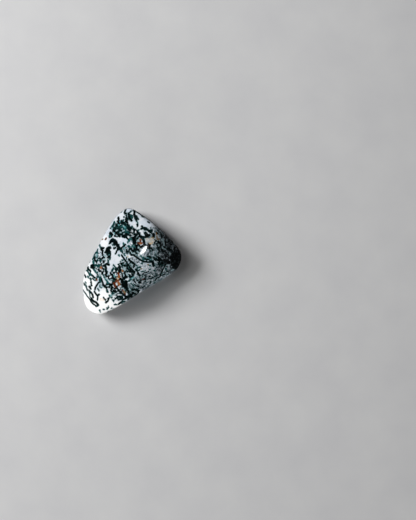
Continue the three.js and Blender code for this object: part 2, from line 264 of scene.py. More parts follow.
LEFT_EDGE = [
    (GREEN, 0.55, (-12.3, 6.2), (-12.0, 5.4), (-11.7, 5.0)),
    (BLACK, 1.0, (-11.6, 4.8), (-11.1, 4.8), (-10.8, 4.9)),
    (BLACK, 0.8, (-11.5, 4.6), (-11.2, 4.0)),
    (BLACK, 0.8, (-9.4, 4.8), (-8.9, 5.1), (-8.3, 5.2), (-7.9, 4.9)),
    (GREEN, 0.8, (-13.0, 4.4), (-13.3, 3.6)),
    (BLACK, 0.6, (-12.6, 2.8), (-12.4, 2.7)),
    (GREEN, 0.8, (-13.8, 3.2), (-14.2, 2.4), (-14.5, 1.5), (-14.8, 0.7)),
    (BLACK, 0.9, (-14.1, 1.5), (-14.0, 0.9), (-13.7, 0.1)),
    (TEAL, 0.8, (-14.6, 0.0), (-14.3, -0.8)),
    (TEAL, 0.5, (-13.1, 2.2), (-13.2, 1.5)),
    (BLACK, 0.45, (-12.8, 1.9), (-12.8, 1.4)),
    (BLACK, 0.95, (-12.1, 1.1), (-11.9, 0.9)),
    (GREEN, 0.7, (-12.2, 0.3), (-11.7, 0.1), (-11.4, 0.4)),
    (GREEN, 0.45, (-13.1, 0.7), (-12.7, 0.1)),
    (BLACK, 0.6, (-13.4, 0.0), (-13.1, -0.6)),
    (BLACK, 0.8, (-11.0, 3.4), (-11.0, 2.6), (-10.8, 2.3)),
    (BLACK, 1.2, (-10.7, 1.3), (-10.5, 1.3)),
    (BLACK, 0.7, (-10.0, 3.3), (-9.1, 2.8), (-8.6, 2.4)),
    (BLACK, 1.5, (-9.2, 3.8), (-8.7, 3.3), (-8.5, 2.5), (-8.4, 1.7)),
    (BLACK, 0.7, (-8.4, 4.0), (-8.0, 3.3), (-7.9, 2.4)),
    (GREEN, 0.7, (-8.0, 1.3), (-8.1, 0.8)),
    (BLACK, 0.9, (-9.3, 4.4), (-8.5, 4.6)),
    (BLACK, 0.7, (-10.2, 0.2), (-10.6, -0.4)),
    (GREEN, 0.85, (-8.7, 0.2), (-8.7, -0.4)),
    (BLACK, 0.9, (-9.3, -1.1), (-8.4, -1.3)),
    (BLACK, 1.0, (-15.2, -1.7), (-14.7, -1.5), (-14.2, -1.6)),
    (GREEN, 0.85, (-14.2, -1.6), (-13.4, -1.5), (-12.6, -1.6), (-12.0, -1.6)),
    (BLACK, 0.8, (-15.3, -2.3), (-14.8, -2.4), (-14.2, -2.7)),
    (TEAL, 0.6, (-14.3, -3.2), (-13.8, -3.6), (-13.4, -4.1), (-12.7, -4.2)),
    (GREEN, 0.45, (-13.4, -2.7), (-13.0, -3.1)),
    (BLACK, 0.9, (-16.7, -2.3), (-16.5, -3.0)),
    (BLACK, 0.6, (-16.4, -3.0), (-15.9, -3.4), (-15.5, -3.8)),
    (GREEN, 0.5, (-17.2, -3.5), (-16.6, -3.9), (-16.3, -4.4), (-16.0, -5.0)),
    (GREEN, 0.6, (-16.2, -4.6), (-15.8, -5.3)),
    (TEAL, 0.4, (-16.6, -5.6), (-16.3, -6.4)),
    (TEAL, 0.5, (-15.7, -4.4), (-15.3, -5.3)),
    (GREEN, 0.7, (-13.3, 3.4), (-12.8, 3.0)),
    (GREEN, 0.8, (-12.6, -2.1), (-11.9, -2.4)),
    (BLACK, 0.6, (-17.9, -5.2), (-17.4, -6.1)),
    (BLACK, 0.6, (-14.9, -5.2), (-14.3, -5.9), (-13.9, -6.3)),
    (GREEN, 0.38, (-14.7, -6.5), (-14.2, -6.9), (-13.6, -7.3)),
    (BLACK, 0.45, (-13.4, -6.3), (-13.1, -6.6)),
    (GREEN, 0.65, (-15.6, -6.5), (-15.4, -7.1)),
    (BLACK, 0.7, (-12.5, -2.8), (-12.0, -3.6), (-11.4, -4.0), (-11.0, -4.7)),
    (BLACK, 0.5, (-11.2, -1.0), (-11.4, -1.7)),
    (BLACK, 0.6, (-10.9, -2.3), (-10.7, -3.0), (-10.5, -3.8)),
    (BLACK, 0.8, (-10.4, -1.7), (-9.9, -1.2), (-9.2, -1.0), (-8.6, -1.3)),
    (BLACK, 1.1, (-9.8, -1.8), (-9.6, -2.6), (-9.6, -3.4), (-9.3, -4.0)),
    (BLACK, 0.45, (-9.6, -4.6), (-9.2, -4.7), (-8.9, -5.0)),
    (BLACK, 0.5, (-7.8, -4.4), (-7.7, -4.7)),
    (BLACK, 0.5, (-12.9, -4.8), (-12.5, -5.2)),
    (GREEN, 0.5, (-13.0, -5.7), (-12.3, -5.9), (-11.6, -5.7)),
    (GREEN, 1.0, (-11.6, -6.0), (-11.8, -6.8), (-11.7, -7.5)),
    (BLACK, 0.65, (-11.2, -6.7), (-10.9, -7.6), (-10.5, -8.6), (-10.1, -9.2)),
    (TEAL, 0.35, (-10.7, -5.2), (-10.3, -5.6), (-10.0, -6.2)),
    (BLACK, 0.5, (-9.9, -5.1), (-9.3, -5.4), (-9.4, -5.8)),
    (TEAL, 0.6, (-9.7, -6.8), (-9.2, -7.3), (-8.8, -8.0)),
]
LOWER_TIP = [
    (BLACK, 0.5, (-15.3, -7.7), (-15.2, -8.6), (-15.2, -9.2)),
    (BLACK, 0.4, (-18.2, -8.3), (-18.0, -9.0)),
    (TEAL, 0.3, (-17.5, -7.8), (-17.3, -8.2)),
    (GREEN, 0.6, (-17.4, -9.1), (-17.2, -9.8)),
    (BLACK, 0.55, (-17.0, -10.3), (-16.8, -10.9)),
    (BLACK, 0.65, (-16.1, -9.6), (-15.7, -10.0), (-15.4, -10.4)),
    (GREEN, 0.6, (-13.4, -17.0), (-12.7, -16.5)),
    (GREEN, 0.45, (-12.7, -10.3), (-12.2, -11.0)),
    (TEAL, 0.35, (-12.0, -9.0), (-11.6, -9.8), (-11.2, -10.0)),
    (BLACK, 0.75, (-10.7, -9.1), (-10.2, -9.3), (-9.6, -9.7), (-8.9, -9.9), (-8.2, -9.7)),
    (GREEN, 0.65, (-8.9, -10.2), (-9.1, -10.9), (-8.8, -11.5)),
    (BLACK, 0.5, (-10.5, -13.6), (-10.2, -14.2), (-9.8, -14.4)),
    (BLACK, 0.6, (-8.5, -13.9), (-8.7, -14.5), (-9.0, -15.0), (-9.7, -15.5)),
    (TEAL, 0.4, (-8.3, -12.8), (-8.1, -13.2)),
    (GREEN, 0.4, (-7.7, -13.7), (-7.3, -13.6)),
    (GREEN, 0.3, (-6.9, -14.9), (-6.5, -14.6)),
    (BLACK, 0.6, (-6.0, -14.1), (-5.6, -13.8), (-5.1, -13.3)),
    (GREEN, 0.42, (-6.4, -16.3), (-5.7, -16.3)),
    (BLACK, 0.75, (-4.8, -16.1), (-4.1, -15.6), (-3.4, -15.0)),
    (GREEN, 0.5, (-10.7, -18.2), (-10.4, -18.2)),
    (GREEN, 0.42, (-8.7, -17.3), (-9.0, -17.8), (-9.3, -18.1)),
    (TEAL, 0.3, (-12.3, -18.4), (-11.9, -19.1)),
    (TEAL, 0.35, (-7.7, -17.8), (-7.4, -17.8)),
    (TEAL, 0.4, (-3.6, -15.9), (-2.4, -15.6)),
    (TEAL, 0.6, (-1.6, -15.1), (-1.1, -14.8)),
    (BLACK, 0.7, (-1.2, -14.2), (-0.6, -14.0)),
    (GREEN, 0.5, (-8.6, -18.8), (-8.0, -18.6)),
]
CENTRE_CLUMP = [
    (GREEN, 0.5, (-3.9, -0.2), (-3.5, 0.0), (-3.0, 0.3)),
    (BLACK, 0.7, (-3.6, -0.9), (-3.3, -1.2)),
    (BLACK, 0.5, (-4.8, -1.2), (-4.5, -1.5)),
    (BLACK, 1.05, (-4.3, -2.1), (-4.1, -2.8), (-4.4, -3.5), (-4.3, -4.0)),
    (BLACK, 0.8, (-5.1, -2.7), (-5.2, -3.3), (-5.6, -3.5)),
    (GREEN, 0.45, (-6.6, -1.4), (-6.1, -2.0), (-5.7, -2.6)),
    (BLACK, 0.5, (-6.0, -2.9), (-5.7, -3.2)),
    (GREEN, 0.75, (-6.6, -2.7), (-6.9, -3.1), (-7.1, -3.5)),
    (BLACK, 0.65, (-6.6, -4.4), (-6.2, -4.3)),
    (BLACK, 0.6, (-7.4, -4.8), (-6.9, -5.4), (-6.8, -6.0)),
    (BLACK, 1.1, (-8.5, -5.6), (-8.3, -6.0)),
    (BLACK, 0.65, (-8.4, -6.2), (-7.7, -6.5), (-7.1, -6.3)),
    (BLACK, 0.75, (-6.7, -6.4), (-6.0, -6.7), (-5.3, -6.9)),
    (BLACK, 0.9, (-2.4, -1.7), (-1.7, -1.8)),
    (BLACK, 0.8, (-1.2, -2.6), (-1.1, -3.0)),
    (BLACK, 0.4, (-3.6, -4.2), (-3.3, -4.6)),
    (BLACK, 0.8, (-1.3, -3.7), (-0.6, -3.7), (0.0, -3.9)),
    (BLACK, 0.5, (-0.6, -2.9), (-0.1, -3.4)),
    (BLACK, 0.7, (0.8, -3.9), (1.4, -4.4)),
    (BLACK, 1.0, (-2.3, -4.2), (-2.3, -5.0), (-2.4, -5.8), (-2.5, -6.5)),
    (BLACK, 0.65, (-3.0, -4.9), (-3.2, -5.5), (-3.0, -6.2)),
    (BLACK, 0.9, (-2.0, -5.5), (-1.9, -6.1)),
    (BLACK, 0.6, (-1.5, -5.6), (-1.4, -6.1)),
    (GREEN, 0.4, (3.0, -3.4), (3.4, -3.2)),
    (BLACK, 0.8, (-1.5, -1.2), (-1.1, -1.6)),
    (BLACK, 0.8, (-6.7, -7.5), (-6.4, -8.0)),
    (BLACK, 0.9, (-0.6, -5.2), (-0.5, -5.7), (0.1, -5.9), (0.8, -5.6)),
    (BLACK, 0.6, (0.3, -4.7), (0.9, -5.0)),
    (GREEN, 0.6, (-0.8, -7.4), (-0.3, -7.0), (0.1, -6.8)),
    (BLACK, 0.9, (-4.0, -6.6), (-3.4, -6.9)),
    (BLACK, 1.5, (-3.2, -7.6), (-2.9, -8.6), (-2.8, -9.8)),
    (BLACK, 1.3, (-1.9, -7.6), (-1.8, -8.6), (-1.7, -9.6), (-1.5, -10.6)),
    (BLACK, 0.9, (-1.1, -11.4), (-0.8, -12.2), (-0.5, -13.0), (-0.4, -13.6)),
    (BLACK, 0.8, (-8.3, -8.6), (-7.6, -8.9), (-6.9, -8.4)),
    (BLACK, 0.6, (-9.5, -8.8), (-8.7, -8.6)),
    (TEAL, 0.5, (-9.1, -8.0), (-8.4, -8.2)),
    (BLACK, 0.7, (-7.2, -9.5), (-7.4, -10.2), (-7.5, -10.9), (-7.5, -11.2)),
    (BLACK, 0.7, (-6.6, -9.9), (-6.1, -10.3)),
    (BLACK, 0.9, (-5.8, -9.7), (-5.4, -10.3), (-4.9, -10.8)),
    (GREEN, 0.8, (-7.0, -12.3), (-6.7, -12.0)),
    (BLACK, 0.95, (-6.5, -11.0), (-6.0, -11.4)),
    (BLACK, 0.45, (-4.5, -12.1), (-4.0, -12.3)),
    (BLACK, 0.95, (-4.8, -10.8), (-4.1, -11.3), (-3.4, -12.0), (-2.8, -12.6), (-2.0, -13.2), (-1.1, -13.6)),
    (BLACK, 1.0, (-4.9, -13.3), (-4.1, -13.2), (-3.5, -13.4)),
    (BLACK, 0.8, (-4.8, -14.4), (-4.0, -14.2), (-3.3, -14.0)),
    (BLACK, 0.7, (-2.8, -14.4), (-2.2, -14.1)),
    (GREEN, 0.8, (-3.2, -15.1), (-2.6, -15.2)),
]
THREADS = TOP_CORNER + UPPER_RIGHT + MAIN_CLUMP + FERN + RIGHT_HALF + LEFT_EDGE + LOWER_TIP + CENTRE_CLUMP

# Smooth unbroken lines, written as the threads are: the straight stems of the middle and the long lines
# of the tip.
VEINS = [
    (BLACK, 0.72, (-3.55, 2.25), (-2.8, 1.3), (-2.1, 0.4), (-1.55, -0.4), (-0.9, -1.4), (-0.2, -2.4)),
    (BLACK, 0.85, (-0.2, -2.4), (0.4, -3.0), (1.0, -3.6), (1.4, -3.9)),
    (BLACK, 0.85, (-0.7, 0.7), (0.1, -0.1), (0.9, -0.6), (1.5, -1.2)),
    (BLACK, 0.5, (0.2, -0.3), (-0.3, -0.6)),
    (BLACK, 0.75, (0.2, 2.5), (1.1, 2.2), (1.9, 1.7), (3.1, 0.85), (4.0, 0.3), (5.0, -0.2)),
    (BLACK, 0.75, (5.0, -0.2), (5.8, -0.2), (6.4, -0.3), (7.1, -0.3), (7.9, -0.3)),
    (BLACK, 0.72, (12.8, -1.3), (12.4, -2.2), (11.9, -3.1), (11.4, -4.0), (11.0, -4.9)),
    (BLACK, 0.7, (10.8, -5.1), (10.8, -5.7), (9.9, -6.2), (9.3, -6.6), (8.9, -7.2)),
    (BLACK, 0.6, (10.7, -5.0), (9.8, -5.2), (8.7, -5.8), (7.6, -6.4), (7.0, -6.6)),
    (BLACK, 0.5, (-18.6, -10.8), (-18.1, -11.5), (-17.4, -12.4), (-16.8, -13.3), (-16.1, -14.0),
     (-15.6, -14.8)),
    (BLACK, 0.6, (-15.6, -14.8), (-15.2, -15.4), (-14.7, -16.0), (-14.1, -16.4), (-13.5, -16.8),
     (-13.0, -17.0)),
    (GREEN, 0.4, (-16.1, -11.5), (-15.9, -12.2), (-15.8, -12.9), (-15.7, -13.6)),
    (BLACK, 0.8, (-16.2, -11.0), (-15.6, -11.6), (-15.0, -12.2), (-14.7, -12.8), (-14.5, -13.6)),
    (BLACK, 0.85, (-15.3, -14.0), (-14.8, -14.7), (-14.1, -15.2), (-13.4, -15.5), (-13.0, -16.0),
     (-12.6, -16.5)),
    (BLACK, 0.75, (-14.0, -11.5), (-13.5, -12.2), (-13.0, -12.8), (-12.6, -12.8), (-12.2, -12.5)),
    (BLACK, 0.6, (-12.7, -13.0), (-12.8, -13.9), (-12.9, -14.6)),
    (BLACK, 0.75, (-13.8, -10.6), (-13.7, -10.1), (-13.3, -9.4), (-12.9, -8.8), (-12.4, -8.1), (-11.8, -7.9)),
]

# Tones of a cell, a clear gap between the threads: white, bluish grey or light teal.
WHITE = 0.0
BLUISH = 0.5
LIGHT_TEAL = 1.0

# Cells, written as the threads are.
CELLS = [
    (BLUISH, 0.3, (-1.8, 17.6), (-1.5, 17.3)),
    (BLUISH, 0.3, (-1.6, 16.9), (-1.4, 16.5)),
    (LIGHT_TEAL, 0.4, (-4.6, 15.1), (-4.4, 14.8)),
    (BLUISH, 0.4, (-6.7, 13.2), (-6.5, 13.5)),
    (BLUISH, 0.4, (-5.9, 14.8), (-5.7, 14.4)),
    (LIGHT_TEAL, 0.4, (-5.1, 13.7), (-4.8, 13.5)),
    (BLUISH, 0.3, (-4.4, 13.9), (-4.1, 13.8)),
    (BLUISH, 0.5, (-3.2, 13.5), (-3.0, 13.2)),
    (LIGHT_TEAL, 0.6, (-2.7, 13.0), (-2.4, 12.6)),
    (BLUISH, 0.35, (-3.6, 12.3), (-3.5, 11.9)),
    (BLUISH, 0.5, (-3.3, 11.3), (-2.7, 11.5)),
    (BLUISH, 0.5, (-5.9, 11.6), (-5.4, 11.7)),
    (BLUISH, 0.5, (-4.3, 10.8), (-4.0, 10.8)),
    (LIGHT_TEAL, 0.45, (-6.6, 10.6), (-6.7, 10.1)),
    (BLUISH, 0.35, (-5.8, 9.8), (-5.5, 9.5)),
    (LIGHT_TEAL, 0.4, (-7.3, 12.5), (-7.6, 12.0)),
    (LIGHT_TEAL, 0.3, (-8.3, 9.6), (-8.2, 9.3)),
    (WHITE, 0.25, (-0.1, 10.5), (0.2, 10.1), (0.8, 9.4)),
    (WHITE, 0.25, (-1.5, 9.4), (-1.2, 9.1), (-0.8, 8.7)),
    (WHITE, 0.5, (0.3, 11.6), (0.4, 11.1)),
    (WHITE, 0.4, (1.7, 11.2), (1.8, 10.7)),
    (BLUISH, 0.4, (0.3, 9.4), (0.0, 9.1)),
    (BLUISH, 0.45, (-1.7, 6.0), (-1.5, 5.5)),
    (LIGHT_TEAL, 0.5, (-2.7, 5.1), (-2.4, 4.8)),
    (BLUISH, 0.8, (-10.2, 2.3), (-9.6, 1.9)),
    (LIGHT_TEAL, 0.3, (-8.6, 2.3), (-8.3, 2.5)),
    (WHITE, 0.5, (-8.4, -7.3), (-8.1, -7.5)),
    (WHITE, 0.55, (-11.0, -5.7), (-10.6, -6.6), (-10.2, -7.6), (-9.9, -8.4)),
    (LIGHT_TEAL, 0.35, (-9.8, -6.6), (-8.9, -6.8), (-8.0, -7.2)),
    (BLUISH, 0.4, (-8.9, -5.1), (-8.6, -5.0)),
    (WHITE, 0.45, (-8.0, -6.1), (-7.5, -5.7)),
    (BLUISH, 0.5, (-7.6, -6.9), (-7.2, -7.0)),
    (BLUISH, 0.8, (-12.1, -4.9), (-11.8, -5.4)),
    (BLUISH, 0.45, (-11.2, -9.2), (-10.7, -9.7)),
    (WHITE, 0.5, (-8.7, -10.2), (-8.3, -11.0)),
    (WHITE, 0.28, (-5.6, -7.9), (-5.6, -8.3)),
    (WHITE, 0.35, (-6.7, -9.3), (-6.4, -9.7)),
    (WHITE, 0.6, (-4.7, -9.6), (-4.4, -10.2)),
    (BLUISH, 0.5, (-6.2, -12.7), (-6.6, -12.6)),
    (LIGHT_TEAL, 0.45, (-7.6, -12.6), (-7.7, -13.0)),
    (WHITE, 0.45, (-4.9, -12.6), (-4.3, -12.5)),
    (BLUISH, 0.5, (-3.3, -10.3), (-2.9, -10.1)),
    (WHITE, 0.35, (-1.9, -12.0), (-1.7, -12.5)),
    (BLUISH, 0.35, (-1.7, -4.5), (-1.3, -5.0), (-1.0, -5.4)),
    (WHITE, 0.45, (-0.3, -4.6), (-0.1, -4.7)),
    (LIGHT_TEAL, 0.4, (0.3, -6.5), (0.7, -6.1), (1.3, -5.8)),
    (WHITE, 0.35, (-1.4, -6.5), (-1.3, -6.9)),
    (WHITE, 0.3, (-0.8, -8.0), (-0.5, -8.1)),
    (BLUISH, 0.35, (0.1, -7.8), (0.3, -8.0)),
    (BLUISH, 0.5, (-0.6, -10.2), (-0.4, -10.7)),
    (BLUISH, 0.35, (0.3, -1.2), (0.7, -1.9)),
    (BLUISH, 0.7, (-2.5, -2.5), (-2.2, -3.2)),
    (BLUISH, 0.4, (-3.2, -4.3), (-2.8, -4.2)),
    (BLUISH, 0.45, (-2.75, -4.9), (-2.65, -5.5)),
    (LIGHT_TEAL, 0.45, (-6.4, -5.0), (-6.1, -5.9)),
    (WHITE, 0.4, (-5.8, -4.6), (-5.8, -5.3)),
    (BLUISH, 0.7, (14.3, 2.9), (14.6, 2.8)),
    (BLUISH, 0.5, (12.6, 4.6), (12.9, 4.5)),
    (BLUISH, 0.6, (11.7, 5.3), (12.0, 4.8)),
    (BLUISH, 0.35, (13.1, 5.4), (13.3, 5.2)),
    (WHITE, 0.45, (8.4, 11.2), (8.5, 10.7)),
    (WHITE, 0.3, (5.7, 11.3), (6.2, 10.9), (6.6, 10.4)),
    (BLUISH, 0.7, (11.4, 8.0), (12.0, 7.6)),
    (BLUISH, 0.7, (12.0, 8.3), (12.2, 7.2), (12.4, 6.1)),
    (BLUISH, 0.35, (13.3, 8.0), (13.4, 7.8)),
    (BLUISH, 0.3, (10.5, 6.2), (10.7, 5.6)),
    (BLUISH, 0.5, (2.4, 3.6), (2.9, 3.2)),
    (BLUISH, 0.7, (9.1, 3.6), (9.4, 3.4)),
    (WHITE, 0.45, (7.8, 5.9), (8.0, 5.4)),
    (BLUISH, 0.25, (3.3, 8.3), (2.6, 7.9), (2.3, 7.3)),
    (BLUISH, 0.6, (2.9, 7.6), (3.0, 7.4)),
    (BLUISH, 0.3, (2.1, 6.8), (2.2, 6.4)),
    (BLUISH, 0.45, (2.9, 5.2), (3.1, 4.9)),
    (LIGHT_TEAL, 0.35, (6.0, 1.3), (6.7, 1.2), (7.5, 0.6)),
    (BLUISH, 0.35, (8.0, 1.3), (8.3, 0.6)),
    (BLUISH, 0.3, (9.2, -0.4), (9.1, -1.4), (8.9, -2.6)),
    (BLUISH, 0.45, (9.7, -0.6), (9.8, -1.1)),
    (BLUISH, 0.45, (13.3, -1.5), (14.4, -1.4)),
    (BLUISH, 0.4, (14.2, -2.2), (14.3, -2.9)),
    (WHITE, 0.35, (6.2, -5.2), (6.8, -5.0)),
    (WHITE, 0.35, (7.4, -5.3), (7.8, -5.4)),
    (WHITE, 0.35, (6.3, -7.1), (7.0, -7.0)),
    (WHITE, 0.35, (7.7, -7.2), (8.1, -7.0)),
    (WHITE, 0.35, (4.3, -7.6), (4.2, -8.1)),
    (WHITE, 0.35, (5.9, -8.5), (6.5, -8.4)),
    (WHITE, 0.35, (3.6, -8.6), (3.9, -8.9)),
    (WHITE, 0.4, (11.0, -6.0), (11.5, -6.0)),
    (WHITE, 0.35, (10.2, -4.4), (10.3, -4.8)),
    (BLUISH, 0.55, (14.9, -3.5), (15.8, -3.2)),
    (WHITE, 0.5, (0.0, 6.9), (0.4, 6.4)),
    (WHITE, 0.6, (-12.3, 2.6), (-12.2, 2.0)),
    (BLUISH, 0.6, (-10.4, 0.8), (-9.9, 0.6)),
    (LIGHT_TEAL, 0.45, (-13.2, 2.7), (-13.3, 1.8)),
    (BLUISH, 0.4, (0.2, 3.5), (0.6, 2.9), (1.3, 3.1)),
]

# Rust spots, written as the threads are. Their tones run from cream (0) by peach (0.1), tan (0.2), dull gold
# (0.35) and orange (0.5) to dark red-brown (1).
RUST = [
    (0.95, 0.75, (2.7, 6.85), (3.0, 6.8)),
    (0.55, 0.7, (3.5, 6.55), (3.9, 6.6)),
    (0.88, 0.5, (4.2, 6.85), (4.35, 6.7)),
    (0.7, 0.45, (3.4, 8.0), (3.8, 7.95)),
    (1.0, 0.45, (3.6, 7.6), (3.75, 7.45)),
    (0.9, 0.7, (-10.0, 8.3), (-9.8, 8.6)),
    (0.36, 0.6, (-11.4, 8.3), (-11.1, 8.3)),
    (0.5, 0.6, (-11.5, -2.3), (-11.4, -2.6)),
    (1.0, 0.3, (-11.0, -2.3), (-11.0, -2.6)),
    (0.1, 0.9, (-11.5, -14.5), (-10.8, -14.6)),
    (0.48, 0.45, (-3.2, -3.4), (-3.0, -3.8)),
    (0.25, 0.5, (-1.2, 1.8), (-1.0, 1.6)),
    (0.8, 0.5, (-13.2, -6.9), (-13.0, -7.2)),
    (0.85, 0.75, (-4.7, -4.5), (-4.6, -5.0)),
    (0.6, 0.75, (-4.5, -5.4), (-4.5, -5.9)),
    (0.15, 0.5, (-5.0, -6.3), (-4.9, -6.6)),
    (0.8, 0.5, (-5.7, -7.7), (-5.3, -7.3), (-4.6, -7.1)),
    (0.55, 0.85, (-4.7, -8.0), (-4.5, -8.6)),
    (0.85, 0.4, (-4.9, -8.9), (-4.6, -9.2)),
    (0.9, 0.8, (-6.4, -8.3), (-6.1, -8.9), (-5.9, -9.4)),
    (0.95, 0.5, (-3.2, -10.7), (-3.0, -11.1)),
    (0.33, 0.5, (-2.8, -11.1), (-2.3, -11.8)),
    (0.95, 0.4, (-2.5, -12.0), (-2.2, -12.3)),
    (0.35, 0.5, (6.4, -1.2), (6.6, -1.3)),
    (0.35, 0.5, (3.9, -2.8), (4.1, -2.9)),
    (0.95, 0.4, (4.4, -6.8), (4.7, -6.8)),
    (0.0, 1.2, (6.1, 8.0), (6.6, 7.7), (7.4, 7.9)),
    (0.0, 0.8, (8.0, 7.3), (8.6, 7.7)),
    (0.17, 0.7, (7.1, 6.9), (7.7, 6.7), (8.2, 7.0)),
    (0.3, 0.5, (8.0, 8.7), (8.4, 8.6)),
    (0.37, 0.45, (9.7, 9.4), (9.8, 8.6), (9.9, 8.1), (10.6, 8.1)),
    (0.4, 0.3, (9.4, 10.7), (9.6, 9.9)),
]

# Stretches of the quartz, each a soft ellipsoid: its name, where its middle lies (mm), its half
# lengths (mm), and how dark it is, from 0, white, to 1, black. The grey behind the top is in part painted
# shade.
QUARTZ_ZONES = [
    # Partly grey quartz and partly painted shade: the upper right is darker where the light falls off.
    ("grey behind the top", (8.6, 11.6, 12.0), (4.2, 1.6, 6.0), 0.40),
    ("pale grey", (7.6, 7.4, 15.0), (3.2, 2.4, 6.0), 0.42),
    ("blue grey", (7.8, 3.0, 15.0), (3.6, 3.0, 7.0), 0.62),
    ("pale band", (4.4, -1.9, 15.0), (4.6, 1.5, 6.0), 0.24),
    ("lower slope", (6.5, -6.4, 9.0), (8.6, 3.8, 8.0), 0.52),
    ("dark grey", (12.8, 4.8, 11.0), (3.8, 6.6, 9.0), 0.84),
    ("black end", (16.7, 1.1, 7.0), (5.2, 5.6, 10.0), 1.03),
    ("under the black end", (13.8, -3.6, 7.5), (3.2, 2.0, 5.0), 0.66),
    ("between the stems", (2.2, 0.5, 15.0), (3.2, 1.5, 6.0), 0.46),
    ("right of the vein", (10.6, -2.7, 12.0), (1.9, 1.6, 6.0), 0.78),
    ("towards the black end", (12.6, -0.2, 11.0), (2.8, 1.8, 6.0), 0.96),
    ("by the low clump", (0.2, -9.2, 10.0), (2.2, 2.2, 6.0), 0.65),
    ("low rim", (3.8, -9.8, 8.0), (3.4, 1.3, 6.0), 0.72),
    ("grey underside", (5.0, 2.0, 0.0), (9.0, 8.0, 3.0), 0.52),
    ("middle", (-1.2, -2.5, 15.0), (3.4, 3.0, 6.0), 0.40),
    ("by the loop", (2.0, 5.4, 15.0), (2.8, 4.4, 6.0), 0.42),
    ("below the fern", (-1.6, 4.2, 14.0), (2.2, 1.8, 6.0), 0.34),
]

# Stretches where fine moss fills the quartz, written the same way, with the share of it that is filled.
MOSS_BEDS = [
    ("main clump", (-4.6, 12.6, 11.0), (3.8, 3.2, 6.0), 1.0),
    ("top corner", (-1.3, 16.6, 8.0), (1.4, 2.0, 6.0), 0.8),
    ("column", (-1.1, 12.2, 12.0), (1.1, 2.0, 6.0), 0.66),
    ("loop", (1.6, 9.4, 14.0), (2.2, 3.0, 6.0), 0.56),
    ("under the loop", (1.6, 4.6, 15.0), (2.4, 3.2, 6.0), 0.60),
    ("fern", (-6.0, 6.4, 10.0), (2.2, 1.8, 6.0), 0.40),
    ("below the fern", (-1.8, 3.8, 14.0), (2.2, 2.2, 6.0), 0.52),
    ("middle", (-1.6, -1.8, 15.0), (3.2, 3.0, 6.0), 0.62),
    ("left edge", (-11.0, 0.8, 8.0), (3.4, 4.4, 6.0), 0.36),
    ("left edge, low", (-11.0, -3.2, 8.0), (2.6, 2.4, 6.0), 0.42),
    ("low middle", (-5.9, -6.2, 11.0), (3.0, 2.6, 6.0), 0.66),
    ("low clump", (-4.0, -10.6, 10.0), (4.0, 3.6, 6.0), 0.62),
    ("low right", (0.2, -11.0, 9.0), (2.8, 3.8, 6.0), 0.66),
    ("lower slope", (6.6, -6.0, 9.0), (7.4, 4.0, 8.0), 0.48),
    ("right of the vein", (11.0, -0.9, 12.0), (2.6, 1.6, 6.0), 0.66),
    ("upper right edge", (8.4, 10.6, 12.0), (3.8, 2.0, 6.0), 0.45),
    ("grey field", (8.4, 4.6, 15.0), (3.4, 3.4, 6.0), 0.34),
    ("left flank", (-13.6, 2.4, 2.6), (2.6, 5.0, 2.2), 0.60),
    ("flank of the tip", (-8.4, -16.6, 1.8), (4.4, 2.4, 1.8), 0.55),
    ("flank of the top corner", (-4.0, 17.4, 2.4), (3.4, 3.0, 2.4), 0.60),
    ("underside, middle", (-3.0, -3.0, 0.0), (7.0, 5.0, 2.2), 0.58),
    ("underside, right", (8.0, 5.0, 0.0), (5.0, 6.0, 2.4), 0.52),
]

# Stretches of milky quartz, and of painted light, written the same way, with how white each is made. The tip
# and the left rims are milky quartz, whitened further as painted light that stands for light shining through
# them and for fill; the low rim by the tip is painted light alone, a rim in shade made white.
MILKY_AND_LIT_ZONES = [
    ("tip", (-13.0, -16.0, 6.0), (8.0, 5.6, 12.0), 1.0),
    ("left rim", (-16.2, -7.6, 6.0), (3.2, 6.6, 10.0), 0.85),
    ("above the tip", (-9.8, -12.4, 9.0), (2.8, 2.2, 6.0), 0.8),
    # Painted light: a rim in shade, made white as if lit.
    ("low rim by the tip", (-5.6, -16.4, 6.0), (3.4, 1.7, 8.0), 0.9),
    ("upper left rim", (-10.4, 7.4, 6.0), (1.6, 3.0, 8.0), 0.5),
]

# One seed for the teeth of the threads and for the strewn worms. The stems and their leaflets take the next.
SEED = 11

# The solid's faces are split this many times as they are rounded into the skin.
ROUNDINGS = 2

# Corners of the solid's faces nearer than this are one and the same.
SAME_CORNER = 0.001 * MM

# Runs are written flat at one height, with a point at every spacing along them. They drop on the skin from
# that far above themselves, or are drawn to its nearest place.
WRITTEN_HEIGHT = 6 * MM
POINT_SPACING = 0.15 * MM
DROPPED_FROM = 100 * MM
DROP_REACH = 200 * MM

# Threads are compared within bands of like half width (mm), so that a thin one never hides a broad one
# beside it. A half width on the border of two bands counts in the lower one.
WIDTH_BANDS = [(0.0, 0.13), (0.13, 0.21), (0.21, 0.29), (0.29, 0.42), (0.42, 0.7), (0.7, 3.0)]
BAND_OVERLAP = 0.0001

# The distance (mm) that stands for no run at all.
NO_RUN = 9.0

# One tooth and one worm as they grow, each about 1 mm long before it is given its size. The shortest tooth has
# that share of the longest one's size.
TOOTH = {"Start": (0.0, 0.0, 0.0), "Middle": (0.5 * MM, 0.15 * MM, 0.0), "End": (1.0 * MM, 0.0, 0.0)}
TOOTH_STEPS = 4
SHORTEST_TOOTH_SHARE = 0.4
WORM = {"Start": (-0.5 * MM, 0.0, 0.0), "Middle": (0.0, 0.6 * MM, 0.0), "End": (0.5 * MM, 0.1 * MM, 0.0)}
WORM_STEPS = 6

# How far the noise that clumps the worms moves for each next seed (mm).
CLUMP_SHIFT = 7.3

# Long stems low on the flanks and on the underside, with leaflets to all sides. What isn't named here is as
# it is for the worms and the teeth.
STEMS = {"Per Square Metre": 26000.0, "Faces Up By Less Than": -0.3, "Clump": 0.1, "Bare Share": 0.46,
         "Shortest": 3.0, "Longest": 7.0, "Thinnest": 0.2, "Broadest": 0.4}
LEAFLETS = {"Share": 0.7, "Longest": 1.3 * MM, "Half Width": 0.16, "Tumble": 1.0}

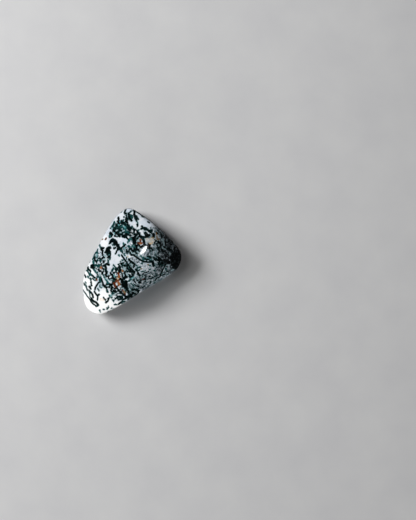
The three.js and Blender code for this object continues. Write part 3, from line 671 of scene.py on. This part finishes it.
# The noises of the pattern: where each is taken beside the stone (mm), its waves per mm, its detail and its
# roughness.
NOISES = {
    "ragged": ((0.0, 0.0, 0.0), 2.3, 3.0, 0.62),
    "broad": ((3.0, 8.0, 1.0), 0.7, 2.0, 0.5),
    "slow": ((31.0, 7.0, 3.0), 0.28, 2.0, 0.5),
    "crumbs": ((11.0, 2.0, 5.0), 1.15, 3.0, 0.6),
    "worms": ((7.0, 21.0, 2.0), 0.62, 2.0, 0.55),
    "mottle": ((5.0, 40.0, 9.0), 1.3, 4.0, 0.65),
    "grain": ((2.0, 9.0, 14.0), 2.7, 2.0, 0.6),
}

# Round beads in the moss, per mm, along the threads and in the beds. A noise bends their places.
THREAD_BEADS = 1.25
BED_BEADS = 0.9
BEND_WAVES = 1.4
BEND = 0.5

# A zone fades between these two shares of its half lengths. The uneven noise frays that edge by one strength
# for grey and black quartz, and by another for moss, milky quartz and painted light.
ZONE_FADE = (1.3, 0.6)
QUARTZ_FRAY = 0.9
MOSS_FRAY = 0.5

# How strongly grey quartz is mottled, broad and fine, and what brings their sum back to swing about 0.
MOTTLE = 2.6
GRAIN = 1.7
MOTTLE_LEVEL = -2.15

# The quartz by how dark it lies, from white by bluish grey to black.
QUARTZ_COLOURS = [
    (0.0, (0.64, 0.67, 0.71)),
    (0.27, (0.385, 0.44, 0.48)),
    (0.5, (0.155, 0.188, 0.213)),
    (0.75, (0.034, 0.047, 0.052)),
    (0.88, (0.008, 0.011, 0.012)),
    (1.0, (0.001, 0.0016, 0.0018)),
]
BLUE_CLOUD = (0.42, 0.50, 0.60)
# The white of milky quartz, also used as painted light on rims in shade.
MILKY_AND_LIT_WHITE = (0.95, 0.95, 0.94)
STAINED_QUARTZ = (0.10, 0.19, 0.20)

# The moss: the haze round it, the fine moss of the beds, then the threads and their thin rims.
GREEN_HAZE = (0.14, 0.28, 0.29)
GREY_HAZE = (0.28, 0.38, 0.43)
FINE_BLACK = (0.001, 0.004, 0.004)
FINE_GREEN = (0.012, 0.055, 0.052)
THREAD_BLACK = (0.0005, 0.002, 0.002)
THREAD_TEAL = (0.012, 0.085, 0.085)
THREAD_RIM = (0.014, 0.085, 0.078)

# Cells and rust spots by their tones.
CELL_COLOURS = [
    (WHITE, (0.60, 0.64, 0.68)),
    (BLUISH, (0.26, 0.36, 0.39)),
    (LIGHT_TEAL, (0.10, 0.27, 0.29)),
]
RUST_COLOURS = [
    (0.0, (0.48, 0.465, 0.42)),
    (0.1, (0.85, 0.68, 0.53)),
    (0.2, (0.52, 0.40, 0.22)),
    (0.35, (0.13, 0.09, 0.035)),
    (0.5, (0.29, 0.105, 0.032)),
    (0.8, (0.13, 0.032, 0.010)),
    (1.0, (0.05, 0.010, 0.005)),
]

# The polish: how rough it is at its best and worst, how strongly the quartz bends light, the share of light
# that goes in and how deep, and the faint waviness that tumbling leaves.
SMOOTHEST = 0.07
ROUGHEST = 0.16
QUARTZ_IOR = 1.54
LIGHT_LET_IN = 0.14
LIGHT_DEPTH = 0.5 * MM
WAVINESS = 0.05
WAVE_HEIGHT = 0.02 * MM

# The floor: half its side (m), its cloudy waves per metre, its roughness and its two pale tints.
FLOOR_HALF = 0.6
FLOOR_WAVES = 60.0
FLOOR_ROUGHNESS = 0.6
FLOOR_COOL = (0.56, 0.56, 0.575)
FLOOR_WARM = (0.66, 0.66, 0.655)

# The lamps, all equally far from the stone (m). Each has the way it lies from the stone (degrees from +X
# towards +Y, then up from the horizon), its width and height (m), its power (W) and its turn about its own
# axis (degrees). The window is seen in the polish alone, and the others light the stone and the floor.
LAMP_DISTANCE = 0.8
LAMPS = [
    {"name": "window", "heading": 146.8, "up": 66.8, "size": (0.144, 0.112), "power": 1.5, "turn": -60.0},
    {"name": "high sky", "heading": 147.1, "up": 66.8, "size": (0.30, 0.30), "power": 0.8, "turn": 0.0},
    {"name": "sky", "heading": 155, "up": 41, "size": (0.34, 0.34), "power": 7.4, "turn": 0.0},
    {"name": "fill", "heading": 262, "up": 9, "size": (0.6, 0.14), "power": 2.2, "turn": 0.0},
    {"name": "low fill", "heading": 290, "up": 3, "size": (0.5, 0.05), "power": 2.8, "turn": 0.0},
]
SEEN_IN_THE_POLISH = "window"
ROOM_LIGHT = 0.02

# The camera looks straight down from here (mm), with this lens on a sensor this wide (mm).
EYE = (28.74, 0.45, 460.5)
LENS = 83.0
SENSOR = 36.0


class Value:
    """A number that comes out of a node. Each sign used on it adds one node more."""

    def __init__(self, build, socket):
        self.build = build
        self.socket = socket

    def __add__(self, other):
        return self.build.maths("ADD", self, other)

    def __sub__(self, other):
        return self.build.maths("SUBTRACT", self, other)

    def __mul__(self, other):
        return self.build.maths("MULTIPLY", self, other)

    def __gt__(self, other):
        return self.build.maths("GREATER_THAN", self, other)

    def __lt__(self, other):
        return self.build.maths("LESS_THAN", self, other)


class Tree:
    """A node tree in the making: each call adds one node."""

    def __init__(self, tree):
        self.tree = tree

    def feed(self, socket, value):
        """Gives a socket its value, by a link where the value comes out of another node."""
        if isinstance(value, Value):
            value = value.socket
        if isinstance(value, bpy.types.NodeSocket):
            self.tree.links.new(value, socket)
        else:
            socket.default_value = value

    def node(self, kind, inputs=(), **settings):
        made = self.tree.nodes.new(kind)
        for name, value in settings.items():
            setattr(made, name, value)
        for key, value in dict(inputs).items():
            self.feed(made.inputs[key], value)
        return made

    def value(self, kind, inputs, output, **settings):
        """What comes out of a new node."""
        return Value(self, self.node(kind, inputs, **settings).outputs[output])

    def maths(self, operation, first, second=0.0, clamp=False):
        return self.value("ShaderNodeMath", {0: first, 1: second}, 0, operation=operation, use_clamp=clamp)

    def least(self, first, second):
        return self.maths("MINIMUM", first, second)

    def most(self, first, second):
        return self.maths("MAXIMUM", first, second)

    def vector(self, operation, first, second=(0.0, 0.0, 0.0), scale=1.0):
        output = "Value" if operation in ("LENGTH", "DISTANCE") else "Vector"
        return self.value("ShaderNodeVectorMath", {0: first, 1: second, 3: scale}, output,
                          operation=operation)

    def ramp(self, value, low, high, start=0.0, end=1.0):
        """Eases from start to end as value goes from low to high."""
        return self.value("ShaderNodeMapRange", {"Value": value, "From Min": low, "From Max": high,
                                                 "To Min": start, "To Max": end}, "Result",
                          interpolation_type="SMOOTHSTEP")


def new_group(name, inputs, outputs):
    """Starts a geometry node group with named inputs and outputs; an input may have a starting value."""
    group = bpy.data.node_groups.new(name, "GeometryNodeTree")
    for label, kind, start in inputs:
        socket = group.interface.new_socket(label, in_out="INPUT", socket_type="NodeSocket" + kind)
        if start is not None:
            socket.default_value = start
    for label, kind in outputs:
        group.interface.new_socket(label, in_out="OUTPUT", socket_type="NodeSocket" + kind)
    build = Tree(group)
    return build, build.node("NodeGroupInput").outputs, build.node("NodeGroupOutput").inputs


def attribute(build, name):
    return build.value("GeometryNodeInputNamedAttribute", {"Name": name}, "Attribute", data_type="FLOAT")


def store(build, geometry, name, value, domain="POINT"):
    """The geometry with the value kept on it under the name."""
    return build.value("GeometryNodeStoreNamedAttribute",
                       {"Geometry": geometry, "Name": name, "Value": value}, "Geometry",
                       data_type="FLOAT", domain=domain)


def realized(build, instances):
    return build.value("GeometryNodeRealizeInstances", {"Geometry": instances}, "Geometry")


def chance(build, seed, low, high, draw):
    """A random value of its own for every element. The draws from one seed are numbered, so none match."""
    made = build.node("FunctionNodeRandomValue", {"Seed": build.maths("ADD", seed, draw)}, data_type="FLOAT")
    live = [socket for socket in made.inputs if socket.enabled and socket.name in ("Min", "Max")]
    for socket, value in zip(live, (low, high)):
        build.feed(socket, value)
    return Value(build, next(socket for socket in made.outputs if socket.enabled))


def any_angle(build, seed, draw):
    return chance(build, seed, 0.0, 2 * math.pi, draw)


def evenly(build, value):
    return build.value("ShaderNodeCombineXYZ", {"X": value, "Y": value, "Z": value}, 0)


def lay_on_skin_group():
    """Lays runs on the skin: straight down where asked and where it is below, else on its nearest place."""
    build, given, out = new_group(
        "Lay on the skin",
        [("Runs", "Geometry", None), ("Skin", "Geometry", None), ("Spacing", "Float", POINT_SPACING),
         ("From Above", "Bool", True)],
        [("Points", "Geometry")],
    )
    smooth = build.value("GeometryNodeCurveSplineType", {"Curve": given["Runs"]}, "Curve",
                         spline_type="CATMULL_ROM")
    even = build.value("GeometryNodeResampleCurve", {"Curve": smooth, "Length": given["Spacing"]}, "Curve",
                       mode="LENGTH")
    above = build.vector("ADD", build.value("GeometryNodeInputPosition", {}, 0), (0.0, 0.0, DROPPED_FROM))
    hit = build.node("GeometryNodeRaycast", {"Target Geometry": given["Skin"], "Source Position": above,
                                             "Ray Direction": (0.0, 0.0, -1.0), "Ray Length": DROP_REACH})
    near = build.value("GeometryNodeProximity", {"Geometry": given["Skin"]}, "Position",
                       target_element="FACES")
    down = build.maths("MULTIPLY", hit.outputs["Is Hit"], given["From Above"]) > 0.5
    place = build.value("GeometryNodeSwitch", {"Switch": down, "False": near,
                                               "True": hit.outputs["Hit Position"]}, 0, input_type="VECTOR")
    laid = build.value("GeometryNodeSetPosition", {"Geometry": even, "Position": place}, "Geometry")
    points = build.value("GeometryNodeCurveToPoints", {"Curve": laid}, "Points", mode="EVALUATED")
    build.feed(out["Points"], points)
    return build.tree


def edge_distance_group():
    """How far a place lies outside the nearest run (mm, below 0 inside it), and that run's tone."""
    build, given, out = new_group(
        "Distance to an edge",
        [("Points", "Geometry", None)],
        [("Distance", "Float"), ("Tone", "Float")],
    )
    place = build.value("GeometryNodeInputPosition", {}, 0)
    width = attribute(build, "half_width")
    tone = attribute(build, "tone")
    best = NO_RUN
    best_tone = BLACK
    for low, high in WIDTH_BANDS:
        inside = (width > low) * (width < high + BAND_OVERLAP)
        band = build.value("GeometryNodeSeparateGeometry",
                           {"Geometry": given["Points"], "Selection": inside}, "Selection", domain="POINT")
        nearest = build.value("GeometryNodeSampleNearest", {"Geometry": band}, "Index", domain="POINT")
        nearest_place, nearest_width, nearest_tone = [
            build.value("GeometryNodeSampleIndex", {"Geometry": band, "Value": value, "Index": nearest},
                        "Value", data_type=kind, domain="POINT")
            for value, kind in ((place, "FLOAT_VECTOR"), (width, "FLOAT"), (tone, "FLOAT"))
        ]
        found = build.value("GeometryNodeAttributeDomainSize", {"Geometry": band}, "Point Count",
                            component="POINTCLOUD")
        away = build.vector("DISTANCE", place, nearest_place) * (1 / MM)
        outside = (found < 0.5) * NO_RUN + (away - nearest_width)
        best_tone = build.value("ShaderNodeMix", {"Factor": outside < best, "A": best_tone,
                                                  "B": nearest_tone}, "Result", data_type="FLOAT")
        best = build.least(outside, best)
    build.feed(out["Distance"], best)
    build.feed(out["Tone"], best_tone)
    return build.tree


def teeth_group():
    """Short fine teeth that grow to all sides along the runs, a rule that makes the moss feathery."""
    build, given, out = new_group(
        "Grow teeth",
        [("Points", "Geometry", None), ("Share", "Float", 0.5), ("Longest", "Float", 0.55 * MM),
         ("Half Width", "Float", 0.09), ("Tumble", "Float", 0.0), ("Seed", "Int", 0)],
        [("Runs", "Geometry")],
    )
    seed = given["Seed"]
    tooth = build.value("GeometryNodeCurveQuadraticBezier", {"Resolution": TOOTH_STEPS, **TOOTH}, "Curve")
    kept = chance(build, seed, 0.0, 1.0, 1) < given["Share"]
    angle = build.value("ShaderNodeCombineXYZ", {"X": any_angle(build, seed, 4) * given["Tumble"],
                                                 "Y": any_angle(build, seed, 5) * given["Tumble"],
                                                 "Z": any_angle(build, seed, 2)}, 0)
    size = build.maths("DIVIDE", given["Longest"], MM) * chance(build, seed, SHORTEST_TOOTH_SHARE, 1.0, 3)
    grown = build.value("GeometryNodeInstanceOnPoints", {
        "Points": given["Points"], "Selection": kept, "Instance": tooth, "Rotation": angle,
        "Scale": evenly(build, size)}, "Instances")
    build.feed(out["Runs"], store(build, realized(build, grown), "half_width", given["Half Width"]))
    return build.tree


def scatter_group():
    """Short bent worms strewn in clumps over the flanks and the underside, where none is listed."""
    build, given, out = new_group(
        "Strew over the flanks",
        [("Skin", "Geometry", None), ("Per Square Metre", "Float", 400000.0),
         ("Faces Up By Less Than", "Float", 0.05), ("Clump", "Float", 0.16), ("Bare Share", "Float", 0.5),
         ("Shortest", "Float", 0.6), ("Longest", "Float", 1.8), ("Thinnest", "Float", 0.14),
         ("Broadest", "Float", 0.34), ("Seed", "Int", 0)],
        [("Runs", "Geometry")],
    )
    seed = given["Seed"]
    normal = build.value("GeometryNodeInputNormal", {}, 0)
    hidden = build.value("ShaderNodeSeparateXYZ", {0: normal}, "Z") < given["Faces Up By Less Than"]
    place = build.vector("SCALE", build.value("GeometryNodeInputPosition", {}, 0), scale=1 / MM)
    moved = build.vector("ADD", place, evenly(build, build.maths("MULTIPLY", seed, CLUMP_SHIFT)))
    clumped = noise(build, moved, given["Clump"]) > given["Bare Share"]
    strewn = build.node("GeometryNodeDistributePointsOnFaces", {
        "Mesh": given["Skin"], "Selection": hidden * clumped, "Density": given["Per Square Metre"],
        "Seed": seed}).outputs
    worm = build.value("GeometryNodeCurveQuadraticBezier", {"Resolution": WORM_STEPS, **WORM}, "Curve")
    size = chance(build, seed, given["Shortest"], given["Longest"], 1)
    placed = build.value("GeometryNodeInstanceOnPoints", {
        "Points": strewn["Points"], "Instance": worm, "Rotation": strewn["Rotation"],
        "Scale": evenly(build, size)}, "Instances")
    turn = build.value("ShaderNodeCombineXYZ", {"Z": any_angle(build, seed, 2)}, 0)
    turned = build.value("GeometryNodeRotateInstances", {"Instances": placed, "Rotation": turn}, "Instances")
    half_width = chance(build, seed, given["Thinnest"], given["Broadest"], 3)
    worms = store(build, realized(build, turned), "half_width", half_width, "CURVE")
    worms = store(build, worms, "tone", chance(build, seed, BLACK, GREEN, 4), "CURVE")
    build.feed(out["Runs"], worms)
    return build.tree


def add_object(name, data):
    made = bpy.data.objects.new(name, data)
    bpy.context.scene.collection.objects.link(made)
    return made


def guide(name, runs):
    """A helper mesh that holds runs of points, each point with its run's half width (mm) and tone."""
    places, links, widths, tones = [], [], [], []
    for tone, width, *run in runs:
        first = len(places)
        places += [(x * MM, y * MM, WRITTEN_HEIGHT) for x, y in run]
        links += [(first + i, first + i + 1) for i in range(len(run) - 1)]
        widths += [width / 2] * len(run)
        tones += [tone] * len(run)
    mesh = bpy.data.meshes.new(name)
    mesh.from_pydata(places, links, [])
    for kept, values in (("half_width", widths), ("tone", tones)):
        mesh.attributes.new(kept, "FLOAT", "POINT").data.foreach_set("value", values)
    return add_object(name, mesh)


def skin_tree(skin_material):
    """The stone's skin, rounded fine from the solid, with the distances its pattern needs on every point."""
    build, given, out = new_group(
        "Tree agate skin",
        [("Geometry", "Geometry", None), ("Threads", "Object", None), ("Veins", "Object", None),
         ("Cells", "Object", None), ("Rust", "Object", None), ("Roundings", "Int", ROUNDINGS),
         ("Seed", "Int", SEED), ("Stem Seed", "Int", SEED + 1)],
        [("Geometry", "Geometry")],
    )
    skin = build.value("GeometryNodeSubdivisionSurface",
                       {"Mesh": given["Geometry"], "Level": given["Roundings"]}, "Mesh")
    lay = lay_on_skin_group()
    measure = edge_distance_group()
    teeth = teeth_group()
    scatter = scatter_group()

    def group(kind, inputs):
        return build.node("GeometryNodeGroup", inputs, node_tree=kind).outputs

    def laid(runs, from_above=True):
        return group(lay, {"Runs": runs, "Skin": skin, "From Above": from_above})["Points"]

    def runs_of(name):
        mesh = build.value("GeometryNodeObjectInfo", {"Object": given[name]}, "Geometry")
        return build.value("GeometryNodeMeshToCurve", {"Mesh": mesh}, "Curve")

    # On top the threads are placed as listed and grow teeth. Worms, and stems with leaflets, are strewn over
    # the flanks and the underside.
    threads = laid(runs_of("Threads"))
    feathers = laid(group(teeth, {"Points": threads, "Seed": given["Seed"]})["Runs"])
    worms = laid(group(scatter, {"Skin": skin, "Seed": given["Seed"]})["Runs"], False)
    stems = laid(group(scatter, {"Skin": skin, "Seed": given["Stem Seed"], **STEMS})["Runs"], False)
    leaflets = laid(group(teeth, {"Points": stems, "Seed": given["Stem Seed"], **LEAFLETS})["Runs"], False)
    moss = build.node("GeometryNodeJoinGeometry")
    for runs in (threads, feathers, worms, stems, leaflets):
        build.feed(moss.inputs[0], runs)
    layers = {"moss": moss.outputs[0], "vein": laid(runs_of("Veins")), "cell": laid(runs_of("Cells")),
              "rust": laid(runs_of("Rust"))}
    dressed = skin
    for name, points in layers.items():
        found = group(measure, {"Points": points})
        dressed = store(build, dressed, name + "_edge", found["Distance"])
        dressed = store(build, dressed, name + "_tone", found["Tone"])
    smooth = build.value("GeometryNodeSetShadeSmooth", {"Geometry": dressed}, 0)
    polished = build.value("GeometryNodeSetMaterial",
                           {"Geometry": realized(build, smooth), "Material": skin_material}, "Geometry")
    build.feed(out["Geometry"], polished)
    return build.tree


def new_material(name):
    """A material, its tree and the inputs of its shader."""
    material = bpy.data.materials.new(name)
    material.use_nodes = True
    return material, Tree(material.node_tree), material.node_tree.nodes["Principled BSDF"].inputs


def colour_mix(build, factor, first, second):
    made = build.node("ShaderNodeMix", data_type="RGBA")
    live = [socket for socket in made.inputs if socket.enabled]
    for socket, value in zip(live, (factor, first, second)):
        build.feed(socket, (*value, 1.0) if isinstance(value, tuple) else value)
    return next(socket for socket in made.outputs if socket.enabled)


def noise(build, place, scale, detail=2.0, rough=0.5):
    return build.value("ShaderNodeTexNoise", {"Vector": place, "Scale": scale, "Detail": detail,
                                              "Roughness": rough}, "Fac")


def colour_steps(build, value, steps):
    """A colour that runs through the given steps as the value goes from 0 to 1."""
    made = build.node("ShaderNodeValToRGB", {"Fac": value})
    ramp = made.color_ramp.elements
    for index, (position, colour) in enumerate(steps):
        step = ramp[index] if index < len(ramp) else ramp.new(position)
        step.position = position
        step.color = (*colour, 1.0)
    return made.outputs["Color"]


def centred(value, height):
    """A noise made to swing about 0, by this height in all."""
    return value * height - height / 2


class AgatePattern:
    """What the layers of the agate's colour share: its places in mm, its noises, and its soft zones."""

    def __init__(self, build):
        self.build = build
        self.place = build.vector("SCALE", build.node("ShaderNodeTexCoord").outputs["Object"], scale=1 / MM)
        self.noise = {}
        for name, (beside, waves, detail, rough) in NOISES.items():
            self.noise[name] = noise(build, build.vector("ADD", self.place, beside), waves, detail, rough)
        self.uneven = centred(self.noise["ragged"], 1.0) + centred(self.noise["broad"], 0.34)
        bend = build.value("ShaderNodeTexNoise", {"Vector": self.place, "Scale": BEND_WAVES}, "Color")
        self.bent = build.vector("ADD", self.place, build.vector("SCALE", bend, scale=BEND))
        self.dark = self.strongest(QUARTZ_ZONES, QUARTZ_FRAY)
        self.full = self.strongest(MOSS_BEDS, MOSS_FRAY)
        # Milky quartz, and the painted light that whitens rims in shade.
        self.milky_and_lit = self.strongest(MILKY_AND_LIT_ZONES, MOSS_FRAY)
        # Green shows in the moss only where the quartz round it is pale.
        self.pale = build.ramp(self.dark, 0.55, 0.95, 1.0, 0.0)

    def strongest(self, zones, fray):
        """The strength of the strongest zone at each place."""
        build = self.build
        total = 0.0
        for _, middle, half, strength in zones:
            spread = build.vector("DIVIDE", build.vector("SUBTRACT", self.place, middle), half)
            share = build.ramp(self.uneven * fray + build.vector("LENGTH", spread), *ZONE_FADE)
            total = build.most(share * strength, total)
        return total

    def beads(self, per_mm):
        """How far each place lies from the middle of its bead."""
        return self.build.value("ShaderNodeTexVoronoi", {"Vector": self.bent, "Scale": per_mm}, "Distance")

    def stored(self, name):
        """What the skin's node tree kept on every point under the name."""
        return self.build.value("ShaderNodeAttribute", {}, "Fac", attribute_name=name)


def quartz_colour(pattern):
    """White quartz with clouds of blue, through bluish grey to black, and plain white where it is milky or
    where painted light whitens a rim in shade.
    """
    build = pattern.build
    # Grey quartz is mottled more than white or black.
    swing = build.ramp(pattern.dark, 0.0, 0.4, 0.2, 1.0) * build.ramp(pattern.dark, 0.75, 1.0, 1.0, 0.5)
    grainy = pattern.noise["mottle"] * MOTTLE + (pattern.noise["grain"] * GRAIN + MOTTLE_LEVEL)
    deep = build.maths("ADD", pattern.dark, grainy * swing, clamp=True)
    quartz = colour_steps(build, deep, QUARTZ_COLOURS)
    cloud = build.ramp(pattern.noise["slow"], 0.45, 0.62) * 0.5
    clouded = colour_mix(build, cloud, quartz, BLUE_CLOUD)
    base = colour_mix(build, build.ramp(deep, 0.0, 0.25, 1.0, 0.0), quartz, clouded)
    # Milky quartz and painted light turn the colour plain white.
    base = colour_mix(build, pattern.milky_and_lit, base, MILKY_AND_LIT_WHITE)
    # Where moss fills a bed, the quartz between its threads is stained too.
    return colour_mix(build, build.ramp(pattern.full, 0.45, 1.0, 0.0, 0.6), base, STAINED_QUARTZ)


def fine_moss(pattern):
    """How far a place lies outside the fine moss of the beds, and outside its beads alone."""
    build = pattern.build
    full = pattern.full
    crumb_edge = pattern.noise["crumbs"] - (full * 0.42 + 0.21)
    # Worms run along the level lines of a broad noise.
    worm_edge = build.maths("ABSOLUTE", pattern.noise["worms"] - 0.5) - (full * 0.06 - 0.02)
    bead_edge = pattern.beads(BED_BEADS) - (full * 0.55 - 0.02)
    edge = build.least(build.least(crumb_edge, worm_edge), bead_edge * 0.3)
    return edge + build.ramp(full, 0.0, 0.25, 0.12, 0.0), bead_edge


def threads_and_veins(pattern):
    """How far a place lies outside the nearest thread, which is ragged, or smooth vein, and its tone."""
    build = pattern.build
    raggedness = (pattern.beads(THREAD_BEADS) * 0.75 - 0.40) + pattern.uneven * 0.8
    ragged_share = build.ramp(pattern.full, 0.0, 0.5, 0.25, 1.0)
    thread_edge = raggedness * ragged_share + (pattern.stored("moss_edge") - 0.08)
    vein_edge = pattern.uneven * 0.25 + (pattern.stored("vein_edge") - 0.02)
    thread_tone = pattern.stored("moss_tone")
    tone = (vein_edge < thread_edge) * (pattern.stored("vein_tone") - thread_tone) + thread_tone
    return build.least(thread_edge, vein_edge), tone


def add_moss(pattern, base):
    """Lays a haze, then the fine moss, then the threads and veins over the quartz."""
    build = pattern.build
    pale = pattern.pale
    broad = pattern.noise["broad"]
    fine_edge, bead_edge = fine_moss(pattern)
    thread_edge, tone = threads_and_veins(pattern)

    haze_colour = colour_mix(build, build.ramp(broad, 0.35, 0.65), GREEN_HAZE, GREY_HAZE)
    haze = build.ramp(build.least(thread_edge, fine_edge * 4.0), 0.34, -0.05) * (pale * 0.45)
    base = colour_mix(build, haze, base, haze_colour)

    green = build.ramp(pattern.noise["ragged"], 0.4, 0.65) * build.ramp(bead_edge, -0.12, 0.06)
    fine_colour = colour_mix(build, green * pale, FINE_BLACK, FINE_GREEN)
    base = colour_mix(build, build.ramp(fine_edge, 0.018, -0.018), base, fine_colour)

    depth = build.maths("ADD", broad * 0.8, tone - 0.4, clamp=True)
    thread_colour = colour_mix(build, pale * depth, THREAD_BLACK, THREAD_TEAL)
    rim = build.ramp(thread_edge, -0.16, 0.02, 0.0, 0.6) * pale
    thread_colour = colour_mix(build, rim, thread_colour, THREAD_RIM)
    return colour_mix(build, build.ramp(thread_edge, 0.07, -0.07), base, thread_colour)


def add_cells(pattern, base):
    """Lays the cells over the moss, dimmer where the quartz is dark."""
    build = pattern.build
    colour = colour_steps(build, pattern.stored("cell_tone"), CELL_COLOURS)
    edge = pattern.stored("cell_edge") + pattern.uneven * 0.6
    share = build.ramp(edge, 0.1, -0.08) * build.ramp(pattern.dark, 0.7, 1.0, 1.0, 0.5)
    return colour_mix(build, share, base, colour)


def add_rust(pattern, base):
    """Lays the rust spots over all, patchy where they are cream or peach and whole where they are darker."""
    build = pattern.build
    tone = pattern.stored("rust_tone")
    colour = colour_steps(build, tone, RUST_COLOURS)
    edge = pattern.uneven * 0.6 + (pattern.stored("rust_edge") - 0.08)
    patches = build.ramp(pattern.noise["mottle"], 0.38, 0.58, 0.1, 0.9)
    share = build.ramp(edge, 0.12, -0.1) * build.most(build.ramp(tone, 0.1, 0.4), patches)
    return colour_mix(build, share, base, colour)


def polished_tree_agate():
    material, build, shader = new_material("polished tree agate")
    pattern = AgatePattern(build)
    base = quartz_colour(pattern)
    for add_layer in (add_moss, add_cells, add_rust):
        base = add_layer(pattern, base)
    wear = noise(build, pattern.place, 0.9, 3.0)
    height = noise(build, pattern.place, 3.2, 3.0) + pattern.noise["ragged"] * 0.5
    looks = {
        "Base Color": base,
        "Roughness": build.ramp(wear, 0.3, 0.7, SMOOTHEST, ROUGHEST),
        "IOR": QUARTZ_IOR,
        "Subsurface Weight": LIGHT_LET_IN,
        "Subsurface Radius": (1.0, 1.0, 1.0),
        "Subsurface Scale": LIGHT_DEPTH,
        "Normal": build.value("ShaderNodeBump", {"Height": height, "Strength": WAVINESS,
                                                 "Distance": WAVE_HEIGHT}, "Normal"),
    }
    for name, value in looks.items():
        build.feed(shader[name], value)
    return material


def set_input(modifier, name, value):
    """Sets a modifier's input by the socket's identifier."""
    for item in modifier.node_group.interface.items_tree:
        if item.item_type == "SOCKET" and item.in_out == "INPUT" and item.name == name:
            modifier[item.identifier] = value


def make_stone():
    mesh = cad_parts["tree_agate"].data.copy()
    stone = add_object("polished_stone", mesh)
    work = bmesh.new()
    work.from_mesh(mesh)
    bmesh.ops.remove_doubles(work, verts=work.verts, dist=SAME_CORNER)
    work.to_mesh(mesh)
    work.free()

    runs = {"Threads": THREADS, "Veins": VEINS, "Cells": CELLS, "Rust": RUST}
    helpers = {name: guide(name.lower(), written) for name, written in runs.items()}
    grow = stone.modifiers.new("grow the skin", "NODES")
    grow.node_group = skin_tree(polished_tree_agate())
    for name, helper in helpers.items():
        set_input(grow, name, helper)
    bpy.context.view_layer.update()
    depsgraph = bpy.context.evaluated_depsgraph_get()
    grown = bpy.data.meshes.new_from_object(stone.evaluated_get(depsgraph), preserve_all_data_layers=True,
                                            depsgraph=depsgraph)
    stone.modifiers.remove(grow)
    stone.data = grown
    for helper in helpers.values():
        bpy.data.objects.remove(helper)
    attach(stone, "root")
    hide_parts("tree_agate")


def make_floor():
    half = FLOOR_HALF
    mesh = bpy.data.meshes.new("floor")
    corners = [(-half, -half, 0), (half, -half, 0), (half, half, 0), (-half, half, 0)]
    mesh.from_pydata(corners, [], [(0, 1, 2, 3)])
    material, build, shader = new_material("pale floor")
    cloud = noise(build, build.node("ShaderNodeTexCoord").outputs["Object"], FLOOR_WAVES, 4.0)
    build.feed(shader["Base Color"], colour_mix(build, cloud, FLOOR_COOL, FLOOR_WARM))
    build.feed(shader["Roughness"], FLOOR_ROUGHNESS)
    mesh.materials.append(material)
    floor = add_object("floor", mesh)
    floor.visible_glossy = False


def make_lamp(name, heading, up, size, power, turn):
    """An area light that faces the stone. It shows either in the polish alone or in all but the polish."""
    light = bpy.data.lights.new(name, "AREA")
    light.shape = "RECTANGLE"
    light.size, light.size_y = size
    light.energy = power
    lamp = add_object(name, light)
    plan = math.radians(heading)
    rise = math.radians(up)
    way = Vector((math.cos(rise) * math.cos(plan), math.cos(rise) * math.sin(plan), math.sin(rise)))
    lamp.location = way * LAMP_DISTANCE
    aim = way.to_track_quat("Z", "Y").to_matrix().to_4x4()
    lamp.rotation_euler = (aim @ Matrix.Rotation(math.radians(turn), 4, "Z")).to_euler()
    lamp.visible_glossy = name == SEEN_IN_THE_POLISH
    lamp.visible_diffuse = name != SEEN_IN_THE_POLISH


def make_room():
    make_floor()
    for lamp in LAMPS:
        make_lamp(**lamp)
    room = bpy.data.worlds.new("room")
    bpy.context.scene.world = room
    room.use_nodes = True
    background = room.node_tree.nodes["Background"]
    background.inputs["Color"].default_value = (1.0, 1.0, 1.0, 1.0)
    background.inputs["Strength"].default_value = ROOM_LIGHT
    bpy.context.scene.view_settings.view_transform = "Standard"


def make_camera():
    camera = bpy.data.cameras.new("camera")
    camera.lens = LENS
    camera.sensor_width = SENSOR
    eye = add_object("camera", camera)
    eye.location = Vector(EYE) * MM
    bpy.context.scene.camera = eye


make_stone()
make_room()
make_camera()
